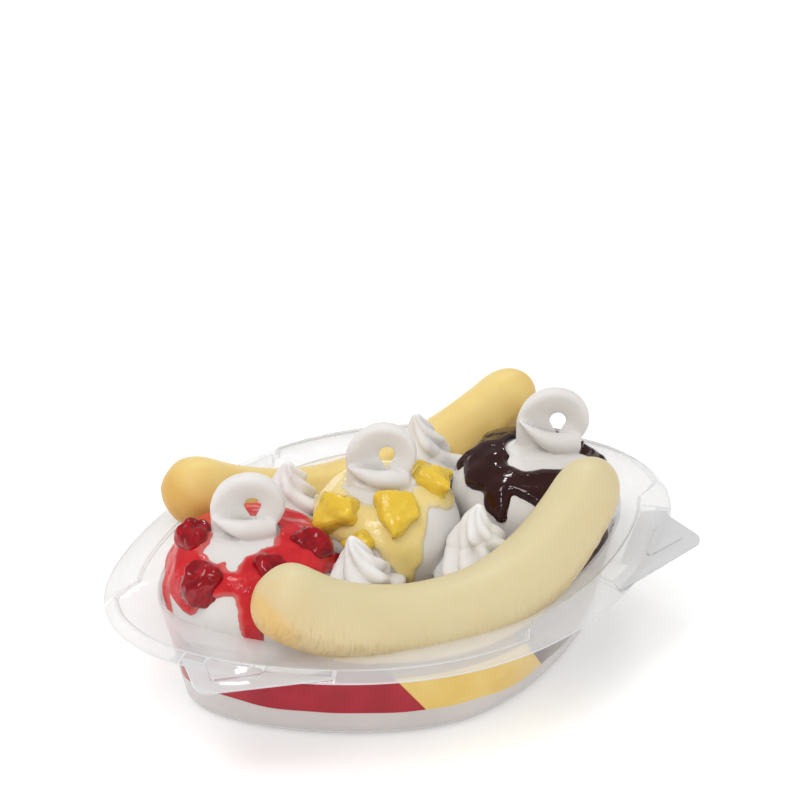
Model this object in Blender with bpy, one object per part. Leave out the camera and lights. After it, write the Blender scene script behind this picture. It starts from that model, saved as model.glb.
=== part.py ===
"""Banana split in a clear boat-shaped dish.

Metres, +Z up. The dish stands on z = 0 with the centre of its flat base at the
origin, its long way along X and the side with the two finger tabs at -Y.
From -X to +X lie the strawberry, the pineapple and the chocolate helping.
"""

from dataclasses import dataclass
from math import cos, degrees, hypot, pi, radians, sin, sqrt

import bmesh
import bpy
from mathutils import Matrix, Vector

# ---------------------------------------------------------------- driving sizes

GAP = 0.0004                # clearance between two pieces that rest on each other
WALL = 0.0009               # sheet thickness of the dish

RIM_HEIGHT = 0.0467         # top of the rim ridge above the table
FLANGE_DROP = 0.0009        # the flat flange lies this far below the ridge
RIDGE_WIDTH = 0.0016        # width of the raised line along the flange's edge
SKIRT_OUT = 0.0034          # the skirt's foot stands out from the ridge by this much
SKIRT_DOWN = 0.0037         # and hangs this far below it
JOG = 0.0078                # the ridge runs this much further in on two quarters
BASE_ROUND = 0.006          # rounding between the flat base and the wall
WALL_ROWS = 3

BOAT_SIDES = 52             # vertices around the dish

TAB_TIP = (0.1002, -0.0510)         # finger tab corner, mirrored at -X
TAB_END_ROOT = (0.0960, -0.0240)    # where the tab leaves the short end
TAB_SIDE_ROOT = (0.0560, -0.0640)   # where it leaves the long side
TAB_BITE = 0.0060                   # the tab reaches this far back into the rim
TAB_ROUND = 0.0055
TAB_TOP = 0.0452
FIELD = ((0.0725, -0.0525), (0.0940, -0.0470), (0.0905, -0.0345))   # raised field on the tab
FIELD_RISE = 0.0008
FIELD_ROUND = 0.0014
FIELD_TAPER = 0.0006

BASE_CREAM_TOP = 0.0110     # top of the plain ice cream under the sauces
CREAM_TILT = 0.030          # and how fast it drops along X
SAUCE_TOP = 0.0290          # top of the three coloured layers
STRAWBERRY_END = (-0.0160, -0.0550, 0.0110)     # a point on the border with the pineapple layer
CHOCOLATE_START = (0.0315, -0.0540, 0.0145)     # a point on the border with the chocolate layer
BORDER_LEAN = (1.0, 0.12, 0.95)                 # both borders face this way

DOME_SIDES = 20
NECK_WIDE = 0.0126              # half width of a scoop's flat neck under its curl
NECK_DEEP = 0.0088              # and half its depth
NECK_FLARE = 0.0035             # the scoop's top is wider than its neck by this much
CURL_SEAT = 0.0068              # the neck ends this far below the middle of the curl

CURL_FACING = radians(-28.0)    # the loops of the curls face this way
CURL_SIDES = 8
CURL_OFFSET = (0.0026, -0.0005)         # middle of the loop's hole, across and up
CURL_ROPE = (0.0062, 0.0032)            # radius of the rope where the loop starts and ends
CURL_HOLE = 0.0033                      # radius of the hole
CURL_STRETCH = 1.12                     # the loop is higher than wide
CURL_SWEEP = (228.0, -300.0)            # degrees: where the loop starts and how far it turns
TAIL_TIP = (-0.0150, -0.0068, 0.0062)   # end of the tail: across, up and toward the front
TAIL_SAG = 0.0022
TAIL_THIN = 0.0011                      # radius at the tail's tip

BANANA_SIDES = 12
BANANA_STEPS = 16
BANANA_EDGES = 0.02             # five faint edges stand out by this share of the radius
BANANA_END = 0.22               # size of the flat at an end

ROSETTE_SIDES = 24
ROSETTE_ROWS = 7
ROSETTE_LOBES = 6
ROSETTE_DEPTH = 0.17            # depth of the folds as a share of the radius
ROSETTE_TWIST = 1.5             # radians that the folds turn from foot to tip
ROSETTE_TIP = 0.035             # radius of the tip as a share


@dataclass(frozen=True)
class Boat:
    """Plan outline of the dish: two bowed long sides and two short ends."""

    half_length: float
    half_width: float
    half_end: float
    bulge: float
    sharpness: float

    def reach(self, angle):
        """Distance from the centre to the outline in one direction."""
        across = abs(cos(angle))
        up = abs(sin(angle))
        bow = (self.half_width - self.half_end) / self.half_length ** 2 * across ** 2
        if bow > 1e-9:
            side = (sqrt(up * up + 4 * bow * self.half_width) - up) / (2 * bow)
        else:
            side = self.half_width / up
        nose = self.bulge / self.half_end ** 2 * up ** 2
        tip = self.half_length + self.bulge
        if nose > 1e-9:
            end = (sqrt(across * across + 4 * nose * tip) - across) / (2 * nose)
        else:
            end = tip / across
        return (side ** -self.sharpness + end ** -self.sharpness) ** (-1 / self.sharpness)

    def grown(self, amount):
        """The outline moved outward."""
        return Boat(self.half_length + amount, self.half_width + amount,
                    self.half_end + 0.3 * amount, self.bulge, self.sharpness)

    def toward(self, other, share):
        """An outline between this one and another."""
        def mix(a, b):
            return a + (b - a) * share
        return Boat(mix(self.half_length, other.half_length), mix(self.half_width, other.half_width),
                    mix(self.half_end, other.half_end), mix(self.bulge, other.bulge),
                    mix(self.sharpness, other.sharpness))


RIDGE = Boat(0.1040, 0.0773, 0.0235, 0.0034, 18.0)
OPENING = Boat(0.0885, 0.0624, 0.0190, 0.0034, 13.0)
BASE = Boat(0.0728, 0.0552, 0.0232, 0.0100, 12.5)


@dataclass(frozen=True)
class Helping:
    """One scoop of soft ice cream with its neck and its curl."""

    name: str
    centre: tuple
    radius: float
    middle: float
    rise: float
    curl: tuple
    curl_size: float
    tail_lift: float


HELPINGS = (
    Helping("ice_cream_strawberry", (-0.0565, 0.0010), 0.0312, 0.0440, 0.0250,
            (-0.0575, 0.0020, 0.0775), 1.00, 0.0005),
    Helping("ice_cream_pineapple", (-0.0020, 0.0030), 0.0270, 0.0500, 0.0215,
            (-0.0045, 0.0030, 0.0830), 0.97, 0.0050),
    Helping("ice_cream_chocolate", (0.0585, 0.0030), 0.0295, 0.0490, 0.0185,
            (0.0655, 0.0020, 0.0785), 1.03, 0.0070),
)


@dataclass(frozen=True)
class Fruit:
    """A peeled banana between two ends, bowed by the way its middle is shifted."""

    name: str
    start: tuple
    end: tuple
    bow: tuple
    radius: float
    end_share: float


BANANAS = (
    Fruit("banana_front", (-0.0700, -0.0365, 0.0705), (0.0690, -0.0300, 0.0755),
          (-0.0080, -0.0150, -0.0265), 0.0134, 0.90),
    Fruit("banana_back", (-0.0690, 0.0440, 0.0660), (0.0810, 0.0450, 0.0700),
          (0.0000, 0.0030, -0.0300), 0.0130, 0.85),
)


@dataclass(frozen=True)
class Rosette:
    """A piped star of whipped cream."""

    name: str
    foot: tuple
    radius: float
    height: float
    turn: float
    lean: tuple


ROSETTES = (
    Rosette("cream_front_left", (-0.0265, -0.0265, 0.0440), 0.0135, 0.0240, 0.2, (-0.0020, 0.0020)),
    Rosette("cream_front_right", (0.0170, -0.0300, 0.0440), 0.0135, 0.0270, 1.1, (0.0030, 0.0010)),
    Rosette("cream_back_left", (-0.0290, 0.0300, 0.0480), 0.0125, 0.0215, 2.0, (0.0010, 0.0010)),
    Rosette("cream_back_right", (0.0300, 0.0330, 0.0480), 0.0125, 0.0270, 2.9, (-0.0040, 0.0000)),
)


@dataclass(frozen=True)
class Chunk:
    """A piece of fruit on a scoop: bearing and height angle on it, size and spin."""

    name: str
    helping: int
    bearing: float
    climb: float
    size: tuple
    spin: float


STRAWBERRIES = (
    Chunk("strawberry_1", 0, 156.0, 52.0, (0.0080, 0.0062, 0.0050), 20.0),
    Chunk("strawberry_2", 0, 205.0, 34.0, (0.0085, 0.0075, 0.0055), 60.0),
    Chunk("strawberry_3", 0, 323.0, 48.0, (0.0078, 0.0062, 0.0050), 110.0),
    Chunk("strawberry_4", 0, 267.0, 45.0, (0.0085, 0.0055, 0.0045), 100.0),
    Chunk("strawberry_5", 0, 335.0, 16.0, (0.0050, 0.0042, 0.0034), 10.0),
)

PINEAPPLES = (
    Chunk("pineapple_1", 1, 190.0, 40.0, (0.0075, 0.0065, 0.0045), 30.0),
    Chunk("pineapple_2", 1, 256.0, 50.0, (0.0070, 0.0070, 0.0045), 15.0),
    Chunk("pineapple_3", 1, 342.0, 56.0, (0.0072, 0.0062, 0.0045), 75.0),
    Chunk("pineapple_4", 1, 221.0, 22.0, (0.0052, 0.0045, 0.0036), 45.0),
)

COLOURS = {
    "clear_plastic": ((0.90, 0.92, 0.93), 0.08),
    "ice_cream": ((0.86, 0.84, 0.82), 0.45),
    "whipped_cream": ((0.90, 0.89, 0.87), 0.50),
    "banana_flesh": ((0.80, 0.68, 0.38), 0.50),
    "strawberry_sauce": ((0.58, 0.02, 0.03), 0.15),
    "pineapple_sauce": ((0.80, 0.50, 0.08), 0.18),
    "chocolate_sauce": ((0.04, 0.010, 0.008), 0.12),
    "strawberry_flesh": ((0.40, 0.01, 0.02), 0.18),
    "pineapple_flesh": ((0.85, 0.52, 0.03), 0.20),
}

# ---------------------------------------------------------------- shared helpers


def clear_scene():
    """Remove whatever stands in the scene."""
    for item in list(bpy.data.objects):
        bpy.data.objects.remove(item, do_unlink=True)


def make_material(name):
    """Material of one piece in its own colour."""
    colour, roughness = COLOURS[name]
    material = bpy.data.materials.new(name)
    material.use_nodes = True
    shader = material.node_tree.nodes["Principled BSDF"]
    shader.inputs["Base Color"].default_value = (*colour, 1.0)
    shader.inputs["Roughness"].default_value = roughness
    shader.inputs["Metallic"].default_value = 0.0
    return material


def add_object(name, bm, material=None, crease=50.0):
    """Turn a bmesh into a smooth-shaded object with its faces outward."""
    bmesh.ops.recalc_face_normals(bm, faces=bm.faces)
    mesh = bpy.data.meshes.new(name)
    bm.to_mesh(mesh)
    bm.free()
    mesh.shade_smooth()
    mesh.set_sharp_from_angle(angle=radians(crease))
    if material:
        mesh.materials.append(material)
    item = bpy.data.objects.new(name, mesh)
    bpy.context.collection.objects.link(item)
    return item


def add_guide(name, bm):
    """A cutter or a shape that a Boolean joins: not a piece of its own."""
    item = add_object(name, bm)
    item.hide_render = True
    item.display_type = "WIRE"
    return item


def combine(item, guide, operation, crosses_itself=False):
    """Boolean of a piece with a guide."""
    step = item.modifiers.new(f"{operation.lower()} {guide.name}", "BOOLEAN")
    step.object = guide
    step.operation = operation
    step.solver = "EXACT"
    step.use_self = crosses_itself


def box_of(item):
    """Low and high corner of an object that stands unmoved in the scene."""
    corners = [Vector(c) for c in item.bound_box]
    low = Vector([min(c[k] for c in corners) for k in range(3)])
    high = Vector([max(c[k] for c in corners) for k in range(3)])
    return low, high


def keep_clear(item, spacers):
    """Cut a piece back from every neighbour whose box it reaches into."""
    low, high = box_of(item)
    for spacer in spacers:
        near, far = box_of(spacer)
        if all(low[k] < far[k] and near[k] < high[k] for k in range(3)):
            combine(item, spacer, "DIFFERENCE")


def loft(bm, rings):
    """Skin a row of equal rings of points and close both ends."""
    rows = [[bm.verts.new(point) for point in ring] for ring in rings]
    count = len(rows[0])
    for low, high in zip(rows, rows[1:]):
        for i in range(count):
            j = (i + 1) % count
            bm.faces.new((low[i], low[j], high[j], high[i]))
    bm.faces.new(list(reversed(rows[0])))
    bm.faces.new(rows[-1])


def lathe_rings(profile, centre, sides):
    """Rings of a turned shape from its (radius, height) profile."""
    rings = []
    for radius, height in profile:
        rings.append([(centre[0] + radius * cos(2 * pi * k / sides),
                       centre[1] + radius * sin(2 * pi * k / sides), height) for k in range(sides)])
    return rings


# ---------------------------------------------------------------- dish


def even_angles(sides):
    """Directions that cut the ridge outline into steps of equal length."""
    fine = 720
    points = []
    for k in range(fine + 1):
        angle = 2 * pi * k / fine
        reach = RIDGE.reach(angle)
        points.append((reach * cos(angle), reach * sin(angle)))
    run = [0.0]
    for a, b in zip(points, points[1:]):
        run.append(run[-1] + hypot(b[0] - a[0], b[1] - a[1]))
    angles = []
    step = 0
    for k in range(sides):
        goal = run[-1] * (k + 0.5) / sides
        while run[step + 1] < goal:
            step += 1
        share = (goal - run[step]) / (run[step + 1] - run[step])
        angles.append(2 * pi * (step + share) / fine)
    return angles


def jog_share(angle):
    """How far in the ridge runs: 0 outside, 1 inside, in two steps at each change."""
    turn = degrees(angle) % 180.0
    ramps = ((98.5, 101.0, 0.5), (103.0, 105.5, 0.5), (169.5, 174.0, -1.0))
    share = 0.0
    for first, last, rise in ramps:
        share += rise * min(max((turn - first) / (last - first), 0.0), 1.0)
    return share


def dish_angles():
    """Even steps around the dish, with each notch of the ridge marked by its own steps."""
    notches = [half + turn for half in (0.0, 180.0) for turn in (98.5, 101.0, 103.0, 105.5, 169.5, 174.0)]
    near = radians(1.3)
    kept = [a for a in even_angles(BOAT_SIDES)
            if all(abs(a - radians(n)) > near for n in notches)]
    return sorted(kept + [radians(n) for n in notches])


def boat_ring(boat, height, angles):
    """Points of an outline at one height."""
    return [(boat.reach(a) * cos(a), boat.reach(a) * sin(a), height) for a in angles]


def jogged_ring(boat, height, angles):
    """Points of the ridge's outline with its steps inward."""
    ring = []
    for a in angles:
        reach = boat.grown(-JOG * jog_share(a)).reach(a)
        ring.append((reach * cos(a), reach * sin(a), height))
    return ring


def wall_shape(height):
    """Outer outline of the dish's wall at a height above the base's rounding."""
    top = RIM_HEIGHT - FLANGE_DROP
    return BASE.toward(OPENING, max(height, 0.0) / top).grown(WALL)


def cup_shapes(inset, floor, top):
    """Outlines and heights of a cup face from its floor edge up, inset from the wall's outside."""
    rows = []
    for k in range(3):
        turn = pi / 2 * k / 2
        height = floor + BASE_ROUND * (1 - cos(turn))
        rows.append((wall_shape(height).grown(-inset - BASE_ROUND * 0.6 * (1 - sin(turn))), height))
    start = floor + BASE_ROUND
    for k in range(1, WALL_ROWS + 1):
        height = start + (top - start) * k / WALL_ROWS
        rows.append((wall_shape(height).grown(-inset), height))
    return rows


def rounded_corner(before, corner, after, radius, steps=5):
    """Arc that rounds one corner of a flat outline."""
    here = Vector(corner)
    back = (Vector(before) - here).normalized()
    ahead = (Vector(after) - here).normalized()
    half = back.angle(ahead) / 2
    centre = here + (back + ahead).normalized() * radius / sin(half)
    first = here + back * radius * cos(half) / sin(half) - centre
    last = here + ahead * radius * cos(half) / sin(half) - centre
    sweep = first.angle_signed(last)
    arc = []
    for k in range(steps + 1):
        arc.append(centre + Matrix.Rotation(-sweep * k / steps, 2) @ first)
    return arc


def plate(outline, low, high, taper=0.0):
    """Flat plate, its top pulled in toward the middle by the taper."""
    centre = sum((Vector(p) for p in outline), Vector((0.0, 0.0))) / len(outline)
    upper = []
    for p in outline:
        inward = (centre - Vector(p)).normalized() * taper
        upper.append((p[0] + inward.x, p[1] + inward.y, high))
    bm = bmesh.new()
    loft(bm, [[(p[0], p[1], low) for p in outline], upper])
    return bm


def add_tab(dish, side):
    """Finger tab at one corner, with its raised field."""
    end_root = Vector(TAB_END_ROOT)
    side_root = Vector(TAB_SIDE_ROOT)
    outline = [side_root + Vector((0.0, TAB_BITE)), side_root]
    outline += rounded_corner(side_root, TAB_TIP, end_root, TAB_ROUND)
    outline += [end_root, end_root - Vector((TAB_BITE, 0.0))]
    field = []
    for k, corner in enumerate(FIELD):
        field += rounded_corner(FIELD[k - 1], corner, FIELD[(k + 1) % 3], FIELD_ROUND, 3)
    word = "right" if side > 0 else "left"
    layers = (("tab", outline, TAB_TOP - WALL, TAB_TOP, 0.0),
              ("field", field, TAB_TOP - WALL / 2, TAB_TOP + FIELD_RISE, FIELD_TAPER))
    for label, shape, low, high, taper in layers:
        mirrored = [(p.x * side, p.y) for p in shape]
        guide = add_guide(f"{label}_{word}_shape", plate(mirrored, low, high, taper))
        combine(dish, guide, "UNION")


def build_dish():
    """Thin clear shell: base, flaring wall, flange, stepped ridge and skirt."""
    angles = dish_angles()
    flange = RIM_HEIGHT - FLANGE_DROP
    foot = RIM_HEIGHT - SKIRT_DOWN
    rings = [boat_ring(b, h, angles) for b, h in cup_shapes(0.0, 0.0, flange - WALL)]
    rings.append(jogged_ring(RIDGE.grown(-RIDGE_WIDTH - WALL), flange - WALL, angles))
    rings.append(boat_ring(RIDGE.grown(SKIRT_OUT - WALL), foot, angles))
    rings.append(boat_ring(RIDGE.grown(SKIRT_OUT), foot, angles))
    rings.append(boat_ring(RIDGE.grown(SKIRT_OUT), foot + WALL * 0.6, angles))
    rings.append(jogged_ring(RIDGE, RIM_HEIGHT, angles))
    rings.append(jogged_ring(RIDGE.grown(-RIDGE_WIDTH * 0.5), RIM_HEIGHT, angles))
    rings.append(jogged_ring(RIDGE.grown(-RIDGE_WIDTH), flange, angles))
    inside = cup_shapes(WALL, WALL, flange)
    rings += [boat_ring(b, h, angles) for b, h in reversed(inside)]
    bm = bmesh.new()
    loft(bm, rings)
    dish = add_object("dish", bm, make_material("clear_plastic"), crease=35.0)
    for side in (-1, 1):
        add_tab(dish, side)
    return dish


def add_cavity():
    """Everything inside the dish and above it, a gap clear of the plastic."""
    angles = dish_angles()
    clear = RIM_HEIGHT + GAP
    shapes = cup_shapes(WALL + GAP, WALL + GAP, RIM_HEIGHT - FLANGE_DROP)
    shapes.append((shapes[-1][0], clear))
    shapes.append((RIDGE.grown(0.02), clear))
    shapes.append((RIDGE.grown(0.02), 0.12))
    bm = bmesh.new()
    loft(bm, [boat_ring(b, h, angles) for b, h in shapes])
    return add_guide("cavity_shape", bm)


# ---------------------------------------------------------------- fillings


def cream_surface(x):
    """Top of the plain ice cream at the bottom of the dish, higher at the strawberry end."""
    return BASE_CREAM_TOP - CREAM_TILT * x


def filling(low_surface, high_surface, wall_rows):
    """Solid between two surfaces that fills the dish from wall to wall."""
    angles = dish_angles()[::2]
    inset = WALL + GAP

    def edge(angle, height):
        lift = min(max((height - inset) / BASE_ROUND, 0.0), 1.0)
        tuck = BASE_ROUND * 0.6 * (1 - sqrt(max(1 - (1 - lift) ** 2, 0.0)))
        return wall_shape(height).grown(-inset - tuck).reach(angle)

    def rim_height(surface, angle):
        height = surface(0.0)
        for _ in range(4):
            reach = edge(angle, height)
            height = surface(reach * cos(angle))
        return height

    rings = []
    for k in range(wall_rows + 1):
        ring = []
        for a in angles:
            low = rim_height(low_surface, a)
            high = rim_height(high_surface, a)
            height = low + (high - low) * k / wall_rows
            reach = edge(a, height)
            ring.append((reach * cos(a), reach * sin(a), height))
        rings.append(ring)
    bm = bmesh.new()
    loft(bm, rings)
    return bm


def slice_at_border(bm, border, keep_low):
    """Cut a solid by the leaning plane of a border, half a gap back, and close the cut."""
    normal = Vector(BORDER_LEAN).normalized()
    back = -GAP / 2 if keep_low else GAP / 2
    geometry = bm.verts[:] + bm.edges[:] + bm.faces[:]
    cut = bmesh.ops.bisect_plane(bm, geom=geometry, plane_co=Vector(border) + normal * back,
                                 plane_no=normal, clear_outer=keep_low, clear_inner=not keep_low)
    edges = [e for e in cut["geom_cut"] if isinstance(e, bmesh.types.BMEdge)]
    bmesh.ops.edgeloop_fill(bm, edges=edges)


def build_fillings(bananas):
    """Plain ice cream at the bottom, three coloured layers on it, grooved where a banana lies."""
    floor = WALL + GAP
    bm = filling(lambda x: floor, cream_surface, 2)
    add_object("ice_cream_base", bm, make_material("ice_cream"))

    spans = (("strawberry_layer", "strawberry_sauce", None, STRAWBERRY_END),
             ("pineapple_layer", "pineapple_sauce", STRAWBERRY_END, CHOCOLATE_START),
             ("chocolate_layer", "chocolate_sauce", CHOCOLATE_START, None))
    for name, sauce, first, last in spans:
        bm = filling(lambda x: cream_surface(x) + GAP, lambda x: SAUCE_TOP, 2)
        if first:
            slice_at_border(bm, first, keep_low=False)
        if last:
            slice_at_border(bm, last, keep_low=True)
        keep_clear(add_object(name, bm, make_material(sauce)), bananas)


# ---------------------------------------------------------------- scoops


def dome_profile(helping, grow=0.0):
    """Side of a scoop from its foot to the top of its neck."""
    foot = SAUCE_TOP + GAP * 2 - grow
    radius = helping.radius + grow
    middle = helping.middle
    profile = []
    sink = middle - foot
    for k in range(4):
        height = foot + sink * k / 4
        away = (middle - height) / (sink * 2.4)
        profile.append((radius * sqrt(1 - away * away), height))
    for k in range(6):
        climb = radians(14 * k)
        profile.append((radius * cos(climb), middle + (helping.rise + grow) * sin(climb)))
    neck = NECK_WIDE * helping.curl_size + grow
    flare = neck + NECK_FLARE
    top = helping.curl[2] - CURL_SEAT * helping.curl_size + grow
    waist = middle + (helping.rise + grow) * sqrt(1 - (flare / radius) ** 2)
    profile = [p for p in profile if p[0] > flare]
    profile.append((flare, waist))
    profile.append((neck + 0.0006, waist + (top - waist) * 0.35))
    profile.append((neck, waist + (top - waist) * 0.7))
    profile.append((neck * 0.8, top))
    return profile


def dome(helping, grow=0.0):
    """Turned scoop whose neck grows flat and leans over to where its curl stands."""
    shift = Vector(helping.curl[:2]) - Vector(helping.centre)
    toward = Vector((sin(CURL_FACING), -cos(CURL_FACING)))
    wide = NECK_WIDE * helping.curl_size + grow
    flat = (NECK_DEEP * helping.curl_size + grow) / wide
    waist = helping.middle + helping.rise * 0.7
    bm = bmesh.new()
    rings = []
    for ring in lathe_rings(dome_profile(helping, grow), helping.centre, DOME_SIDES):
        height = ring[0][2]
        share = min(max((height - waist) / (helping.curl[2] - 0.008 - waist), 0.0), 1.0)
        points = []
        for x, y, z in ring:
            out = Vector((x - helping.centre[0], y - helping.centre[1]))
            out -= toward * out.dot(toward) * (1 - flat) * min(share * 2.2, 1.0)
            points.append((helping.centre[0] + shift.x * share + out.x,
                           helping.centre[1] + shift.y * share + out.y, z))
        rings.append(points)
    loft(bm, rings)
    return bm


def curl(helping):
    """Rope of ice cream that loops over once and lays its tail across the front."""
    size = helping.curl_size
    across = Vector((cos(CURL_FACING), sin(CURL_FACING), 0.0))
    toward = Vector((sin(CURL_FACING), -cos(CURL_FACING), 0.0))
    up = Vector((0.0, 0.0, 1.0))
    centre = Vector(helping.curl) + across * CURL_OFFSET[0] * size + up * CURL_OFFSET[1]

    route = []
    loop_steps = 13
    for k in range(loop_steps + 1):
        share = k / loop_steps
        turn = radians(CURL_SWEEP[0] + CURL_SWEEP[1] * share)
        rope = (CURL_ROPE[0] + (CURL_ROPE[1] - CURL_ROPE[0]) * share ** 0.8) * size
        far = CURL_HOLE * size + rope
        route.append((far * cos(turn), far * sin(turn) * CURL_STRETCH, 0.0010 * share, rope))
    u, v, w, rope = route[-1]
    tip = (TAIL_TIP[0] * size, TAIL_TIP[1] * size + helping.tail_lift, TAIL_TIP[2])
    tail_steps = 5
    for k in range(1, tail_steps + 1):
        share = k / tail_steps
        thick = rope + (TAIL_THIN * size - rope) * share ** 2
        sag = -TAIL_SAG * sin(pi * share)
        route.append((u + (tip[0] - u) * share, v + (tip[1] - v) * share + sag,
                      w + (tip[2] - w) * min(share * 1.6, 1.0), thick))

    rings = []
    for k, (u, v, w, rope) in enumerate(route):
        before = route[max(k - 1, 0)]
        after = route[min(k + 1, len(route) - 1)]
        slope = Vector((after[0] - before[0], after[1] - before[1])).normalized()
        side = across * slope.y - up * slope.x
        middle = centre + across * u + up * v + toward * w
        rings.append([middle + side * rope * cos(2 * pi * n / CURL_SIDES)
                      + toward * rope * sin(2 * pi * n / CURL_SIDES) for n in range(CURL_SIDES)])
    bm = bmesh.new()
    loft(bm, rings)
    return bm


def build_scoops(cavity):
    """Scoops with their curls, each cut back from the one before it."""
    spacers = []
    for helping in HELPINGS:
        scoop = add_object(helping.name, dome(helping), make_material("ice_cream"))
        combine(scoop, cavity, "INTERSECT")
        keep_clear(scoop, spacers)
        rope = add_guide(f"{helping.name}_curl_shape", curl(helping))
        combine(scoop, rope, "UNION", crosses_itself=True)
        spacers.append(add_guide(f"{helping.name}_clearance", dome(helping, GAP)))
    return spacers


# ---------------------------------------------------------------- bananas


def banana(fruit, grow=0.0):
    """Bowed banana with blunt round ends and five faint edges along it."""
    start = Vector(fruit.start)
    end = Vector(fruit.end)
    bow = Vector(fruit.bow)
    span = (end - start).length
    rings = []
    for k in range(BANANA_STEPS + 1):
        turn = pi * k / BANANA_STEPS
        share = (1 - cos(turn)) / 2
        middle = start.lerp(end, share) + bow * 4 * share * (1 - share)
        along = (end - start + bow * 4 * (1 - 2 * share)).normalized()
        side = along.cross(Vector((0.0, 0.0, 1.0))).normalized()
        up = side.cross(along)
        taper = 1.0 - (1.0 - fruit.end_share) * max(share * 2 - 1, 0.0) ** 1.5
        cap = min(share, 1 - share) * span / fruit.radius
        blunt = sqrt(1 - (1 - min(cap, 1.0)) ** 2.6)
        size = fruit.radius * taper * max(blunt, BANANA_END) + grow
        ring = []
        for n in range(BANANA_SIDES):
            angle = 2 * pi * n / BANANA_SIDES
            edge = 1 + BANANA_EDGES * cos(5 * angle)
            ring.append(middle + (side * cos(angle) + up * sin(angle)) * size * edge)
        rings.append(ring)
    bm = bmesh.new()
    loft(bm, rings)
    return bm


def build_bananas(cavity, scoops):
    """Bananas that lean on the dish and the scoops."""
    spacers = []
    for fruit in BANANAS:
        item = add_object(fruit.name, banana(fruit), make_material("banana_flesh"))
        combine(item, cavity, "INTERSECT")
        keep_clear(item, scoops)
        spacers.append(add_guide(f"{fruit.name}_clearance", banana(fruit, GAP)))
    return spacers


# ---------------------------------------------------------------- whipped cream


def rosette(star, grow=0.0):
    """Piped star on the sauce: ridges that turn as they climb to a drawn-out point."""
    rings = []
    for k in range(ROSETTE_ROWS + 1):
        share = k / ROSETTE_ROWS
        envelope = star.radius * ((1 - share) ** 0.85 * (0.86 + 0.5 * share) + ROSETTE_TIP)
        depth = ROSETTE_DEPTH * (1 - share ** 3)
        twist = star.turn + ROSETTE_TWIST * share
        shift = Vector(star.lean) * share ** 2
        height = star.foot[2] + star.height * share
        if k == 0:
            height = SAUCE_TOP + GAP * 2 - grow
        elif k == ROSETTE_ROWS:
            height += grow
        ring = []
        for n in range(ROSETTE_SIDES):
            angle = 2 * pi * n / ROSETTE_SIDES
            reach = envelope * (1 + depth * cos(ROSETTE_LOBES * (angle - twist))) + grow * 1.5
            ring.append((star.foot[0] + shift.x + reach * cos(angle),
                         star.foot[1] + shift.y + reach * sin(angle), height))
        rings.append(ring)
    bm = bmesh.new()
    loft(bm, rings)
    return bm


def build_rosettes(neighbours):
    """Whipped cream stars between the bananas and the scoops."""
    spacers = []
    for star in ROSETTES:
        item = add_object(star.name, rosette(star), make_material("whipped_cream"))
        keep_clear(item, neighbours)
        spacers.append(add_guide(f"{star.name}_clearance", rosette(star, GAP)))
    return spacers


# ---------------------------------------------------------------- fruit pieces


def seat(chunk):
    """Place and outward direction of a fruit piece on its scoop."""
    helping = HELPINGS[chunk.helping]
    bearing = radians(chunk.bearing)
    climb = radians(chunk.climb)
    flat = helping.radius * cos(climb)
    place = Vector((helping.centre[0] + flat * cos(bearing), helping.centre[1] + flat * sin(bearing),
                    helping.middle + helping.rise * sin(climb)))
    out = Vector((cos(climb) * cos(bearing) / helping.radius, cos(climb) * sin(bearing) / helping.radius,
                  sin(climb) / helping.rise)).normalized()
    return place, out


def oriented(bm, chunk, lift):
    """Turn a piece made around the origin onto its seat."""
    place, out = seat(chunk)
    spin = Matrix.Rotation(radians(chunk.spin), 4, "Z")
    aim = out.to_track_quat("Z", "Y").to_matrix().to_4x4()
    shift = Matrix.Translation(place + out * lift)
    bmesh.ops.transform(bm, matrix=shift @ aim @ spin, verts=bm.verts)


def build_strawberries(neighbours):
    """Soft halves of berries, one end more pointed than the other."""
    for chunk in STRAWBERRIES:
        bm = bmesh.new()
        bmesh.ops.create_uvsphere(bm, u_segments=8, v_segments=5, radius=1.0)
        for vertex in bm.verts:
            narrow = 1.0 - 0.28 * vertex.co.x
            vertex.co = Vector((vertex.co.x * chunk.size[0], vertex.co.y * chunk.size[1] * narrow,
                                vertex.co.z * chunk.size[2] * narrow))
        oriented(bm, chunk, chunk.size[2] * 0.35)
        keep_clear(add_object(chunk.name, bm, make_material("strawberry_flesh")), neighbours)


def build_pineapples(neighbours):
    """Wedges cut from a ring of pineapple, with softened edges."""
    for chunk in PINEAPPLES:
        bm = bmesh.new()
        bmesh.ops.create_cube(bm, size=2.0)
        for vertex in bm.verts:
            wedge = 1.0 - 0.32 * vertex.co.x
            vertex.co = Vector((vertex.co.x * chunk.size[0], vertex.co.y * chunk.size[1] * wedge,
                                vertex.co.z * chunk.size[2]))
        bmesh.ops.bevel(bm, geom=bm.edges[:], offset=chunk.size[2] * 0.35, segments=1, profile=0.5,
                        affect="EDGES", material=-1)
        oriented(bm, chunk, chunk.size[2] * 0.45)
        keep_clear(add_object(chunk.name, bm, make_material("pineapple_flesh"), crease=70.0), neighbours)


def main():
    """Build every piece, each clear of the ones that carry it."""
    clear_scene()
    build_dish()
    cavity = add_cavity()
    scoops = build_scoops(cavity)
    bananas = build_bananas(cavity, scoops)
    build_fillings(bananas)
    rosettes = build_rosettes(scoops + bananas)
    build_strawberries(scoops + bananas + rosettes)
    build_pineapples(scoops + bananas + rosettes)


main()
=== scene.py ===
"""Banana split in a clear boat dish: the looks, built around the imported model.

Metres, +Z up. The dish stands on z = 0, its long way along X; from -X to +X lie
the strawberry, the pineapple and the chocolate helping.
"""

from __future__ import annotations

import logging
from dataclasses import dataclass
from enum import Enum
from math import acos, atan2, cos, degrees, pi, radians, sin, sqrt
from typing import Callable, Sequence

import bmesh
import bpy
from mathutils import Matrix, Vector, noise
from mathutils.bvhtree import BVHTree

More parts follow.
